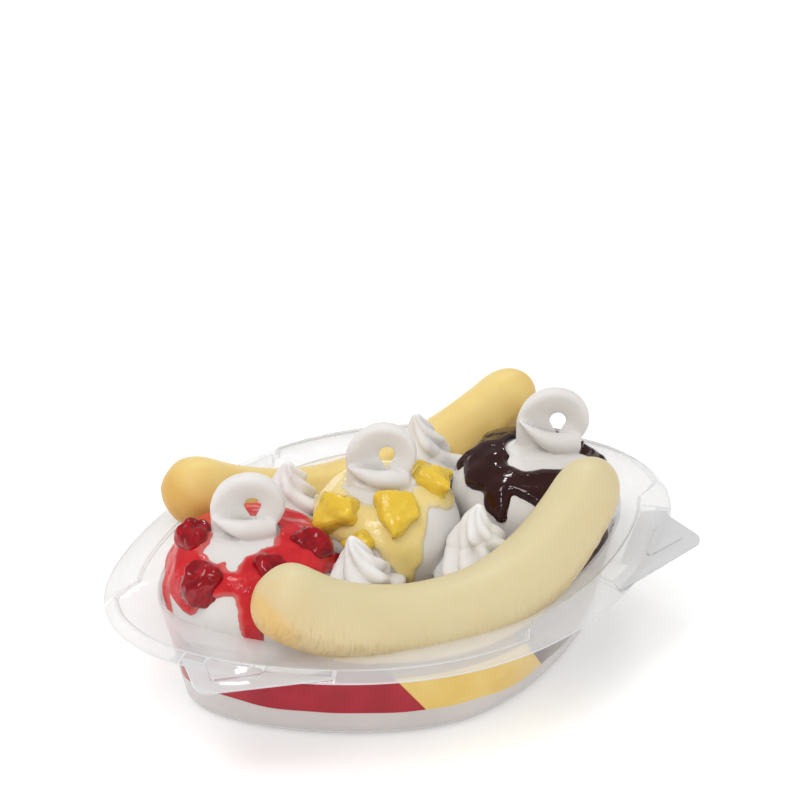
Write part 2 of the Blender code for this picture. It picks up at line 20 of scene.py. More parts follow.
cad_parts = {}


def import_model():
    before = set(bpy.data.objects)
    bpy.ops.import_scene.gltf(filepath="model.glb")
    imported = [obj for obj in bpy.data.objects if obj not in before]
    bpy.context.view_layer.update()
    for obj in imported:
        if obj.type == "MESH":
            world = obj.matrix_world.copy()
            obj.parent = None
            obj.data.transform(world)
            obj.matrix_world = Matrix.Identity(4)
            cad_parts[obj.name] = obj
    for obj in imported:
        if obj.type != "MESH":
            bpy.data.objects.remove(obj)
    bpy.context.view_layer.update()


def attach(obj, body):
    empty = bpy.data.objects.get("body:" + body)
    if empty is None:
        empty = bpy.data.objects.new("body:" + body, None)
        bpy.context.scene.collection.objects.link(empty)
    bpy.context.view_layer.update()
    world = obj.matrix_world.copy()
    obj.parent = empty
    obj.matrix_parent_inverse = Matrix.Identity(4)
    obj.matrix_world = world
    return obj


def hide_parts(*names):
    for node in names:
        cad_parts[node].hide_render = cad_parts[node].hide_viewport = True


LOG = logging.getLogger("banana_split")
MM = 0.001
UP = Vector((0.0, 0.0, 1.0))

# ------------------------------------------------------------------ finishes


class Slot(Enum):
    """Material slots of the record."""

    PLASTIC = "clear_plastic"
    ICE = "ice_cream"
    WHIPPED = "whipped_cream"
    BANANA = "banana_flesh"
    STRAWBERRY_SAUCE = "strawberry_sauce"
    PINEAPPLE_SAUCE = "pineapple_sauce"
    CHOCOLATE_SAUCE = "chocolate_sauce"
    STRAWBERRY = "strawberry_flesh"
    PINEAPPLE = "pineapple_flesh"


Colour = tuple[float, float, float]


@dataclass(frozen=True)
class Gloss:
    """How a surface shines: constants that go straight onto the shader's sockets."""

    roughness: float
    specular: float = 0.5
    scatter: float = 0.0
    scatter_scale: float = 0.003
    scatter_radius: Colour = (1.0, 0.7, 0.6)


@dataclass(frozen=True)
class Bump:
    """Fine relief of a surface: a noise of one size."""

    size: float
    depth: float
    detail: float = 3.0
    stretch: Colour = (1.0, 1.0, 1.0)


@dataclass(frozen=True)
class Finish:
    """A food's surface: mottled colour, gloss and fine relief."""

    name: str
    light: Colour
    dark: Colour
    patch: float
    gloss: Gloss
    bumps: tuple[Bump, ...] = ()
    thin: Colour | None = None

    def build(self) -> bpy.types.Material:
        """Make the node material.

        Returns:
            The material, with its pattern on Object coordinates.
        """
        material = bpy.data.materials.new(self.name)
        material.use_nodes = True
        tree = material.node_tree
        shader = tree.nodes["Principled BSDF"]
        self._shine(shader)
        place = tree.nodes.new("ShaderNodeTexCoord").outputs["Object"]
        colour = self._mottle(tree, place)
        if self.thin is not None:
            colour = self._thin_edges(tree, colour)
        tree.links.new(colour, shader.inputs["Base Color"])
        normal = None
        for bump in self.bumps:
            normal = self._relief(tree, place, bump, normal)
        if normal is not None:
            tree.links.new(normal, shader.inputs["Normal"])
        return material

    def _shine(self, shader: bpy.types.Node) -> None:
        """Set the gloss on the shader's own sockets.

        Args:
            shader: The Principled BSDF node.
        """
        gloss = self.gloss
        values = {
            "Roughness": gloss.roughness, "Specular IOR Level": gloss.specular,
            "Subsurface Weight": gloss.scatter, "Subsurface Scale": gloss.scatter_scale,
        }
        for socket, value in values.items():
            shader.inputs[socket].default_value = value
        shader.inputs["Subsurface Radius"].default_value = gloss.scatter_radius

    def _mottle(self, tree: bpy.types.NodeTree, place: bpy.types.NodeSocket) -> bpy.types.NodeSocket:
        """Blend the light and the dark colour in soft patches.

        Args:
            tree: The material's node tree.
            place: Object coordinates.

        Returns:
            The colour socket.
        """
        cloud = tree.nodes.new("ShaderNodeTexNoise")
        cloud.inputs["Scale"].default_value = 1.0 / self.patch
        cloud.inputs["Detail"].default_value = 4.0
        tree.links.new(place, cloud.inputs["Vector"])
        ramp = tree.nodes.new("ShaderNodeValToRGB")
        ramp.color_ramp.elements[0].position = 0.32
        ramp.color_ramp.elements[1].position = 0.68
        ramp.color_ramp.elements[0].color = (*self.dark, 1.0)
        ramp.color_ramp.elements[1].color = (*self.light, 1.0)
        tree.links.new(cloud.outputs["Fac"], ramp.inputs["Fac"])
        return ramp.outputs["Color"]

    def _thin_edges(self, tree: bpy.types.NodeTree, colour: bpy.types.NodeSocket) -> bpy.types.NodeSocket:
        """Let the ground shine through where the sauce runs thin.

        Args:
            tree: The material's node tree.
            colour: The colour where the sauce is thick.

        Returns:
            The colour socket.
        """
        depth = tree.nodes.new("ShaderNodeAttribute")
        depth.attribute_name = "depth"
        ramp = tree.nodes.new("ShaderNodeValToRGB")
        ramp.color_ramp.elements[0].position = 0.10
        ramp.color_ramp.elements[1].position = 0.75
        tree.links.new(depth.outputs["Fac"], ramp.inputs["Fac"])
        mix = tree.nodes.new("ShaderNodeMix")
        mix.data_type = "RGBA"
        tree.links.new(ramp.outputs["Color"], mix.inputs["Factor"])
        mix.inputs[6].default_value = (*self.thin, 1.0)
        tree.links.new(colour, mix.inputs[7])
        return mix.outputs[2]

    def _relief(self, tree: bpy.types.NodeTree, place: bpy.types.NodeSocket, bump: Bump,
                below: bpy.types.NodeSocket | None) -> bpy.types.NodeSocket:
        """Add one layer of fine relief.

        Args:
            tree: The material's node tree.
            place: Object coordinates.
            bump: Size and depth of the relief.
            below: Normal of the layers below, if any.

        Returns:
            The normal socket.
        """
        mapping = tree.nodes.new("ShaderNodeMapping")
        mapping.inputs["Scale"].default_value = bump.stretch
        tree.links.new(place, mapping.inputs["Vector"])
        grain = tree.nodes.new("ShaderNodeTexNoise")
        grain.inputs["Scale"].default_value = 1.0 / bump.size
        grain.inputs["Detail"].default_value = bump.detail
        tree.links.new(mapping.outputs["Vector"], grain.inputs["Vector"])
        node = tree.nodes.new("ShaderNodeBump")
        node.inputs["Strength"].default_value = 1.0
        node.inputs["Distance"].default_value = bump.depth
        tree.links.new(grain.outputs["Fac"], node.inputs["Height"])
        if below is not None:
            tree.links.new(below, node.inputs["Normal"])
        return node.outputs["Normal"]


@dataclass(frozen=True)
class ClearSheet:
    """Thin clear plastic: see-through, faintly milky, with painted edge lines along its rounded edges."""

    name: str
    tint: Colour
    body: Colour
    # Colour and extra veil of the painted edge lines on the rounded edges.
    painted_edge_colour: Colour
    edge_veil: float
    painted_edge_veil: float
    ripple: float

    def build(self) -> bpy.types.Material:
        """Make the node material.

        Returns:
            The material.
        """
        material = bpy.data.materials.new(self.name)
        material.use_nodes = True
        tree = material.node_tree
        tree.nodes.remove(tree.nodes["Principled BSDF"])
        clear = tree.nodes.new("ShaderNodeBsdfTransparent")
        clear.inputs["Color"].default_value = (*self.tint, 1.0)
        milky = tree.nodes.new("ShaderNodeBsdfDiffuse")
        shine = tree.nodes.new("ShaderNodeBsdfGlossy")
        shine.inputs["Roughness"].default_value = 0.06
        waves = self._waves(tree)
        tree.links.new(waves, shine.inputs["Normal"])
        facing = tree.nodes.new("ShaderNodeLayerWeight")
        facing.inputs["Blend"].default_value = 0.5
        ramp = tree.nodes.new("ShaderNodeMapRange")
        ramp.interpolation_type = "SMOOTHSTEP"
        ramp.inputs["From Min"].default_value = 0.45
        ramp.inputs["From Max"].default_value = 1.0
        ramp.inputs["To Min"].default_value = 0.0
        ramp.inputs["To Max"].default_value = self.edge_veil
        tree.links.new(facing.outputs["Facing"], ramp.inputs["Value"])
        veil = ramp.outputs["Result"]
        # The "rim" mark paints edge lines: more milky veil on the rounded edges, in place of the light lines
        # those edges make.
        for name, amount in (("haze", 1.0), ("rim", self.painted_edge_veil)):
            source = tree.nodes.new("ShaderNodeAttribute")
            source.attribute_name = name
            total = tree.nodes.new("ShaderNodeMath")
            total.operation = "MULTIPLY_ADD"
            total.use_clamp = True
            tree.links.new(source.outputs["Fac"], total.inputs[0])
            total.inputs[1].default_value = amount
            tree.links.new(veil, total.inputs[2])
            veil = total.outputs[0]
        # Painted edge lines: the veil's colour turns greyer where the "rim" mark is set.
        shade = tree.nodes.new("ShaderNodeMix")
        shade.data_type = "RGBA"
        shade.inputs[6].default_value = (*self.body, 1.0)
        shade.inputs[7].default_value = (*self.painted_edge_colour, 1.0)
        tree.links.new(source.outputs["Fac"], shade.inputs["Factor"])
        tree.links.new(shade.outputs[2], milky.inputs["Color"])
        first = tree.nodes.new("ShaderNodeMixShader")
        tree.links.new(veil, first.inputs["Fac"])
        tree.links.new(clear.outputs["BSDF"], first.inputs[1])
        tree.links.new(milky.outputs["BSDF"], first.inputs[2])
        steep = tree.nodes.new("ShaderNodeMath")
        steep.operation = "POWER"
        steep.inputs[1].default_value = 4.0
        tree.links.new(facing.outputs["Facing"], steep.inputs[0])
        mirror = tree.nodes.new("ShaderNodeMapRange")
        mirror.inputs["To Min"].default_value = 0.022
        mirror.inputs["To Max"].default_value = 0.75
        tree.links.new(steep.outputs["Value"], mirror.inputs["Value"])
        second = tree.nodes.new("ShaderNodeMixShader")
        tree.links.new(mirror.outputs["Result"], second.inputs["Fac"])
        tree.links.new(first.outputs["Shader"], second.inputs[1])
        tree.links.new(shine.outputs["BSDF"], second.inputs[2])
        tree.links.new(second.outputs["Shader"], tree.nodes["Material Output"].inputs["Surface"])
        return material

    def _waves(self, tree: bpy.types.NodeTree) -> bpy.types.NodeSocket:
        """Soft unevenness of pressed sheet.

        Args:
            tree: The material's node tree.

        Returns:
            The normal socket.
        """
        place = tree.nodes.new("ShaderNodeTexCoord").outputs["Object"]
        cloud = tree.nodes.new("ShaderNodeTexNoise")
        cloud.inputs["Scale"].default_value = 70.0
        cloud.inputs["Detail"].default_value = 2.0
        tree.links.new(place, cloud.inputs["Vector"])
        bump = tree.nodes.new("ShaderNodeBump")
        bump.inputs["Distance"].default_value = self.ripple
        tree.links.new(cloud.outputs["Fac"], bump.inputs["Height"])
        return bump.outputs["Normal"]


# The fourth and sixth values paint the edge lines: their grey colour and their extra veil.
CLEAR_PLASTIC = ClearSheet("clear plastic", (0.970, 0.972, 0.973), (0.80, 0.79, 0.785), (0.64, 0.64, 0.65),
                           0.40, 0.45, 0.0004)

ICE_GLOSS = Gloss(roughness=0.45, specular=0.30, scatter=0.20, scatter_scale=0.002,
                  scatter_radius=(1.0, 0.9, 0.85))
GLAZE_GLOSS = Gloss(roughness=0.10, specular=0.35)
FRUIT_GLOSS = Gloss(roughness=0.09, specular=0.40)

SOFT_ICE = Finish("soft ice cream", (0.70, 0.672, 0.648), (0.665, 0.638, 0.615), 0.02, ICE_GLOSS,
                  (Bump(0.004, 0.00022), Bump(0.0007, 0.00004)))
# A darker copy of the scoops' ice cream: painted shade for the plain ice cream down in the dish.
SHADED_BOTTOM_ICE = Finish("shaded ice cream behind plastic", (0.66, 0.610, 0.585), (0.60, 0.555, 0.535), 0.03,
                    Gloss(roughness=0.5, specular=0.2), (Bump(0.006, 0.0003),))
WHIPPED_CREAM = Finish("whipped cream", (0.755, 0.735, 0.722), (0.72, 0.70, 0.688), 0.01,
                       Gloss(roughness=0.5, specular=0.3, scatter=0.15, scatter_scale=0.0015,
                             scatter_radius=(1.0, 0.95, 0.9)),
                       (Bump(0.003, 0.00015), Bump(0.0006, 0.00003)))
STRAWBERRY_GLAZE = Finish("strawberry glaze", (0.590, 0.026, 0.030), (0.470, 0.014, 0.020), 0.006, GLAZE_GLOSS,
                          (Bump(0.005, 0.0005), Bump(0.0012, 0.00008)), thin=(0.60, 0.13, 0.12))
PINEAPPLE_GLAZE = Finish("pineapple glaze", (0.800, 0.630, 0.265), (0.750, 0.560, 0.195), 0.010,
                         Gloss(roughness=0.15, specular=0.4, scatter=0.15, scatter_scale=0.002,
                               scatter_radius=(1.0, 0.7, 0.2)),
                         (Bump(0.005, 0.0005),), thin=(0.74, 0.61, 0.36))
CHOCOLATE_GLAZE = Finish("chocolate glaze", (0.030, 0.0060, 0.0050), (0.022, 0.0045, 0.0040), 0.01,
                         Gloss(roughness=0.09, specular=0.45), (Bump(0.006, 0.0005),))
STRAWBERRY_BIT = Finish("strawberry flesh", (0.360, 0.009, 0.014), (0.170, 0.003, 0.008), 0.004,
                        FRUIT_GLOSS, (Bump(0.0018, 0.00012),))
PINEAPPLE_BIT = Finish("pineapple flesh", (0.725, 0.520, 0.062), (0.680, 0.450, 0.040), 0.004,
                       Gloss(roughness=0.15, specular=0.40, scatter=0.40, scatter_scale=0.003,
                             scatter_radius=(1.0, 0.75, 0.2)),
                       (Bump(0.0015, 0.0003, stretch=(1.0, 0.4, 1.0)),))
STRAWBERRY_CREAM = Finish("strawberry layer", (0.430, 0.010, 0.028), (0.330, 0.006, 0.018), 0.012,
                          Gloss(roughness=0.4, specular=0.1), (Bump(0.006, 0.0004),))
PINEAPPLE_CREAM = Finish("pineapple layer", (0.800, 0.590, 0.190), (0.760, 0.510, 0.120), 0.012,
                         Gloss(roughness=0.4, specular=0.1), (Bump(0.006, 0.0004),))
CHOCOLATE_CREAM = Finish("chocolate layer", (0.270, 0.205, 0.190), (0.150, 0.105, 0.095), 0.014,
                         Gloss(roughness=0.4, specular=0.1), (Bump(0.006, 0.0004),))


@dataclass(frozen=True)
class BananaFinish:
    """Peeled banana: cream above, tan below as painted shade on the underside, with short strokes across it."""

    name: str
    top: Colour
    # Colour of the painted shade on the underside; the next colour is the darkest, at the shaded ends.
    shaded_under: Colour
    core: Colour
    fleck: float

    def build(self) -> bpy.types.Material:
        """Make the node material.

        Returns:
            The material; its pattern runs on the piece's own UV map.
        """
        material = bpy.data.materials.new(self.name)
        material.use_nodes = True
        tree = material.node_tree
        shader = tree.nodes["Principled BSDF"]
        shader.inputs["Roughness"].default_value = 0.42
        shader.inputs["Specular IOR Level"].default_value = 0.3
        shader.inputs["Subsurface Weight"].default_value = 0.25
        shader.inputs["Subsurface Scale"].default_value = 0.003
        shader.inputs["Subsurface Radius"].default_value = (1.0, 0.7, 0.35)
        coordinates = tree.nodes.new("ShaderNodeTexCoord")
        shade = tree.nodes.new("ShaderNodeAttribute")
        shade.attribute_name = "shade"
        cloud = tree.nodes.new("ShaderNodeTexNoise")
        cloud.inputs["Scale"].default_value = 90.0
        cloud.inputs["Detail"].default_value = 5.0
        tree.links.new(coordinates.outputs["Object"], cloud.inputs["Vector"])
        total = tree.nodes.new("ShaderNodeMath")
        total.operation = "MULTIPLY_ADD"
        tree.links.new(cloud.outputs["Fac"], total.inputs[0])
        total.inputs[1].default_value = 0.45
        tree.links.new(shade.outputs["Fac"], total.inputs[2])
        # The "shade" mark paints shade: the ramp runs from the top colour to the shaded underside colour and the
        # darkest colour.
        ramp = tree.nodes.new("ShaderNodeValToRGB")
        stops = ramp.color_ramp.elements
        stops.new(0.80)
        for stop, place, colour in zip(stops, (0.25, 0.80, 1.0), (self.top, self.shaded_under, self.core)):
            stop.position = place
            stop.color = (*colour, 1.0)
        tree.links.new(total.outputs[0], ramp.inputs["Fac"])
        strokes = self._strokes(tree, coordinates)
        mix = tree.nodes.new("ShaderNodeMix")
        mix.data_type = "RGBA"
        mix.blend_type = "MULTIPLY"
        tree.links.new(strokes, mix.inputs["Factor"])
        tree.links.new(ramp.outputs["Color"], mix.inputs[6])
        mix.inputs[7].default_value = (0.84, 0.76, 0.60, 1.0)
        tree.links.new(mix.outputs[2], shader.inputs["Base Color"])
        bump = tree.nodes.new("ShaderNodeBump")
        bump.inputs["Distance"].default_value = 0.00018
        tree.links.new(strokes, bump.inputs["Height"])
        bump.invert = True
        tree.links.new(bump.outputs["Normal"], shader.inputs["Normal"])
        return material

    def _strokes(self, tree: bpy.types.NodeTree, coordinates: bpy.types.Node) -> bpy.types.NodeSocket:
        """Short strokes across the fruit, mostly on its lower half.

        Args:
            tree: The material's node tree.
            coordinates: The Texture Coordinate node.

        Returns:
            Strength of the strokes, 0 to 1.
        """
        mapping = tree.nodes.new("ShaderNodeMapping")
        mapping.inputs["Scale"].default_value = (190.0, 14.0, 1.0)
        tree.links.new(coordinates.outputs["UV"], mapping.inputs["Vector"])
        lines = tree.nodes.new("ShaderNodeTexNoise")
        lines.inputs["Scale"].default_value = 1.0
        lines.inputs["Detail"].default_value = 2.0
        tree.links.new(mapping.outputs["Vector"], lines.inputs["Vector"])
        sharp = tree.nodes.new("ShaderNodeValToRGB")
        sharp.color_ramp.elements[0].position = 0.50
        sharp.color_ramp.elements[1].position = 0.72
        tree.links.new(lines.outputs["Fac"], sharp.inputs["Fac"])
        where = tree.nodes.new("ShaderNodeAttribute")
        where.attribute_name = "strokes"
        product = tree.nodes.new("ShaderNodeMath")
        product.operation = "MULTIPLY"
        tree.links.new(sharp.outputs["Color"], product.inputs[0])
        tree.links.new(where.outputs["Fac"], product.inputs[1])
        strength = tree.nodes.new("ShaderNodeMath")
        strength.operation = "MULTIPLY"
        tree.links.new(product.outputs[0], strength.inputs[0])
        strength.inputs[1].default_value = self.fleck
        return strength.outputs[0]


# Second colour: the painted shade of the underside; third: the darkest, at the ends.
FRONT_BANANA = BananaFinish("front banana", (0.625, 0.540, 0.320), (0.610, 0.470, 0.255),
                            (0.640, 0.430, 0.170), 1.0)
BACK_BANANA = BananaFinish("back banana", (0.745, 0.565, 0.205), (0.640, 0.390, 0.105),
                           (0.600, 0.350, 0.085), 0.45)

# ------------------------------------------------------------------ modelling helpers


def outward(bm: bmesh.types.BMesh) -> None:
    """Turn every face of a closed shape outward.

    Args:
        bm: The shape.
    """
    bmesh.ops.recalc_face_normals(bm, faces=bm.faces)
    if bm.calc_volume(signed=True) < 0:
        bmesh.ops.reverse_faces(bm, faces=bm.faces)


def keep_largest(bm: bmesh.types.BMesh) -> None:
    """Remove closed hollows and crumbs beside the largest connected body.

    Args:
        bm: The shape.
    """
    left = set(bm.verts)
    largest: set[bmesh.types.BMVert] = set()
    for seed in bm.verts:
        if seed not in left:
            continue
        left.discard(seed)
        body, front = {seed}, [seed]
        while front:
            vertex = front.pop()
            for other in (edge.other_vert(vertex) for edge in vertex.link_edges):
                if other in left:
                    left.discard(other)
                    body.add(other)
                    front.append(other)
        if len(body) > len(largest):
            largest = body
    bmesh.ops.delete(bm, geom=[v for v in bm.verts if v not in largest], context="VERTS")


def skin(rings: Sequence[Sequence[Vector]]) -> bmesh.types.BMesh:
    """Extrude a circle from ring to ring and close both ends.

    Args:
        rings: Rows of equally many points.

    Returns:
        A closed bmesh.
    """
    bm = bmesh.new()
    row = bmesh.ops.create_circle(bm, segments=len(rings[0]), radius=1.0)["verts"]
    edges = bm.edges[:]
    for vertex, place in zip(row, rings[0]):
        vertex.co = place
    for ring in rings[1:]:
        made = bmesh.ops.extrude_edge_only(bm, edges=edges)["geom"]
        fresh = {item for item in made if isinstance(item, bmesh.types.BMVert)}
        edges = [item for item in made if isinstance(item, bmesh.types.BMEdge)
                 and all(v in fresh for v in item.verts)]
        row = [next(e.other_vert(v) for e in v.link_edges if e.other_vert(v) in fresh) for v in row]
        for vertex, place in zip(row, ring):
            vertex.co = place
    bmesh.ops.holes_fill(bm, edges=[e for e in bm.edges if e.is_boundary], sides=0)
    outward(bm)
    return bm


def moulded(around: int, along: int, shape: Callable[[float, float], Vector]) -> bmesh.types.BMesh:
    """Press a ball into a long or lobed form.

    Args:
        around: Steps round the ball's axis.
        along: Steps from pole to pole.
        shape: Place of a point for its turn (radians) and its share of the way from the lower pole.

    Returns:
        A closed bmesh.
    """
    bm = bmesh.new()
    bmesh.ops.create_uvsphere(bm, u_segments=around, v_segments=along, radius=1.0)
    for vertex in bm.verts:
        turn = atan2(vertex.co.y, vertex.co.x)
        share = acos(max(-1.0, min(1.0, -vertex.co.z))) / pi
        vertex.co = shape(turn, share)
    outward(bm)
    return bm


def temporary(bm: bmesh.types.BMesh) -> bpy.types.Object:
    """Put a bmesh into an object that a later step uses up.

    Args:
        bm: The shape, which is freed.

    Returns:
        The object.
    """
    mesh = bpy.data.meshes.new("step")
    bm.to_mesh(mesh)
    bm.free()
    item = bpy.data.objects.new("step", mesh)
    bpy.context.scene.collection.objects.link(item)
    return item


def evaluated(item: bpy.types.Object, *helpers: bpy.types.Object) -> bmesh.types.BMesh:
    """Apply an object's modifiers and remove it with its helpers.

    Args:
        item: The object.
        helpers: Objects that its modifiers used.

    Returns:
        The finished shape.
    """
    bpy.context.view_layer.update()
    graph = bpy.context.evaluated_depsgraph_get()
    mesh = bpy.data.meshes.new_from_object(item.evaluated_get(graph))
    bm = bmesh.new()
    bm.from_mesh(mesh)
    bpy.data.meshes.remove(mesh)
    for used in (item, *helpers):
        bpy.data.objects.remove(used, do_unlink=True)
    return bm


def melted(parts: Sequence[bmesh.types.BMesh], grain: float, rounds: int) -> bmesh.types.BMesh:
    """Flow several overlapping closed shapes into one soft body.

    Args:
        parts: The shapes, which are freed.
        grain: Size of the new faces.
        rounds: How often the surface is smoothed.

    Returns:
        One closed bmesh.
    """
    whole = bmesh.new()
    for part in parts:
        mesh = bpy.data.meshes.new("part")
        part.to_mesh(mesh)
        part.free()
        whole.from_mesh(mesh)
        bpy.data.meshes.remove(mesh)
    item = temporary(whole)
    remesh = item.modifiers.new("one body", "REMESH")
    remesh.mode = "VOXEL"
    remesh.voxel_size = grain
    soften = item.modifiers.new("soften", "SMOOTH")
    soften.factor = 0.5
    soften.iterations = rounds
    bm = evaluated(item)
    keep_largest(bm)
    return bm


def united(item: bmesh.types.BMesh, parts: Sequence[bmesh.types.BMesh]) -> bmesh.types.BMesh:
    """Join closed shapes to another with exact Booleans.

    Args:
        item: The main shape.
        parts: What is joined to it.

    Returns:
        One closed bmesh.
    """
    main = temporary(item)
    helpers = [temporary(part) for part in parts]
    for helper in helpers:
        step = main.modifiers.new("join", "BOOLEAN")
        step.object = helper
        step.operation = "UNION"
        step.solver = "EXACT"
    return evaluated(main, *helpers)


def roughen(bm: bmesh.types.BMesh, size: float, depth: float, seed: float = 0.0) -> None:
    """Push a surface in and out by a soft noise.

    Args:
        bm: The shape.
        size: Size of the waves.
        depth: How far they reach.
        seed: Shifts the noise.
    """
    bm.normal_update()
    shift = Vector((seed, 2.3 * seed, -seed))
    for vertex in bm.verts:
        vertex.co += vertex.normal * noise.noise(vertex.co / size + shift) * depth


def mark(bm: bmesh.types.BMesh, name: str, value: Callable[[bmesh.types.BMVert], float]) -> None:
    """Store one number per point for a material to read.

    Args:
        bm: The shape.
        name: Name of the attribute.
        value: The number for a point.
    """
    layer = bm.verts.layers.float.new(name)
    for vertex in bm.verts:
        vertex[layer] = value(vertex)


def finished(bm: bmesh.types.BMesh, name: str, material: bpy.types.Material, slot: Slot,
             stands_for: Sequence[str] = (), crease: float = 60.0) -> bpy.types.Object:
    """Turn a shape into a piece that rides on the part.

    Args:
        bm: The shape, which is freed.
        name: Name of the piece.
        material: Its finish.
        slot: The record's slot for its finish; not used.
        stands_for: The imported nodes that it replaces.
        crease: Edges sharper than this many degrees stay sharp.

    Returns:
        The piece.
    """
    mesh = bpy.data.meshes.new(name)
    bm.to_mesh(mesh)
    bm.free()
    mesh.shade_smooth()
    mesh.set_sharp_from_angle(angle=radians(crease))
    mesh.materials.append(material)
    piece = bpy.data.objects.new(name, mesh)
    bpy.context.scene.collection.objects.link(piece)
    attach(piece, "root")
    if stands_for:
        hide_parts(*stands_for)
    LOG.info("%s: %d faces", name, len(mesh.polygons))
    return piece


# ------------------------------------------------------------------ dish


@dataclass(frozen=True)
class Boat:
    """Plan outline of the dish: two bowed long sides and two short ends."""

    half_length: float
    half_width: float
    half_end: float
    bulge: float
    sharpness: float

    def reach(self, angle: float) -> float:
        """Distance from the centre to the outline.

        Args:
            angle: Direction in radians.

        Returns:
            The distance.
        """
        across = abs(cos(angle))
        aside = abs(sin(angle))
        bow = (self.half_width - self.half_end) / self.half_length ** 2 * across ** 2
        if bow > 1e-9:
            side = (sqrt(aside * aside + 4 * bow * self.half_width) - aside) / (2 * bow)
        else:
            side = self.half_width / aside
        nose = self.bulge / self.half_end ** 2 * aside ** 2
        tip = self.half_length + self.bulge
        if nose > 1e-9:
            end = (sqrt(across * across + 4 * nose * tip) - across) / (2 * nose)
        else:
            end = tip / across
        return (side ** -self.sharpness + end ** -self.sharpness) ** (-1 / self.sharpness)

    def grown(self, amount: float) -> Boat:
        """The outline moved outward by an amount."""
        return Boat(self.half_length + amount, self.half_width + amount,
                    self.half_end + 0.3 * amount, self.bulge, self.sharpness)

    def toward(self, other: Boat, share: float) -> Boat:
        """An outline between this one and another.

        Args:
            other: The other outline.
            share: Share of the way to it.

        Returns:
            The outline.
        """
        pairs = zip(
            (self.half_length, self.half_width, self.half_end, self.bulge, self.sharpness),
            (other.half_length, other.half_width, other.half_end, other.bulge, other.sharpness))
        return Boat(*(a + (b - a) * share for a, b in pairs))


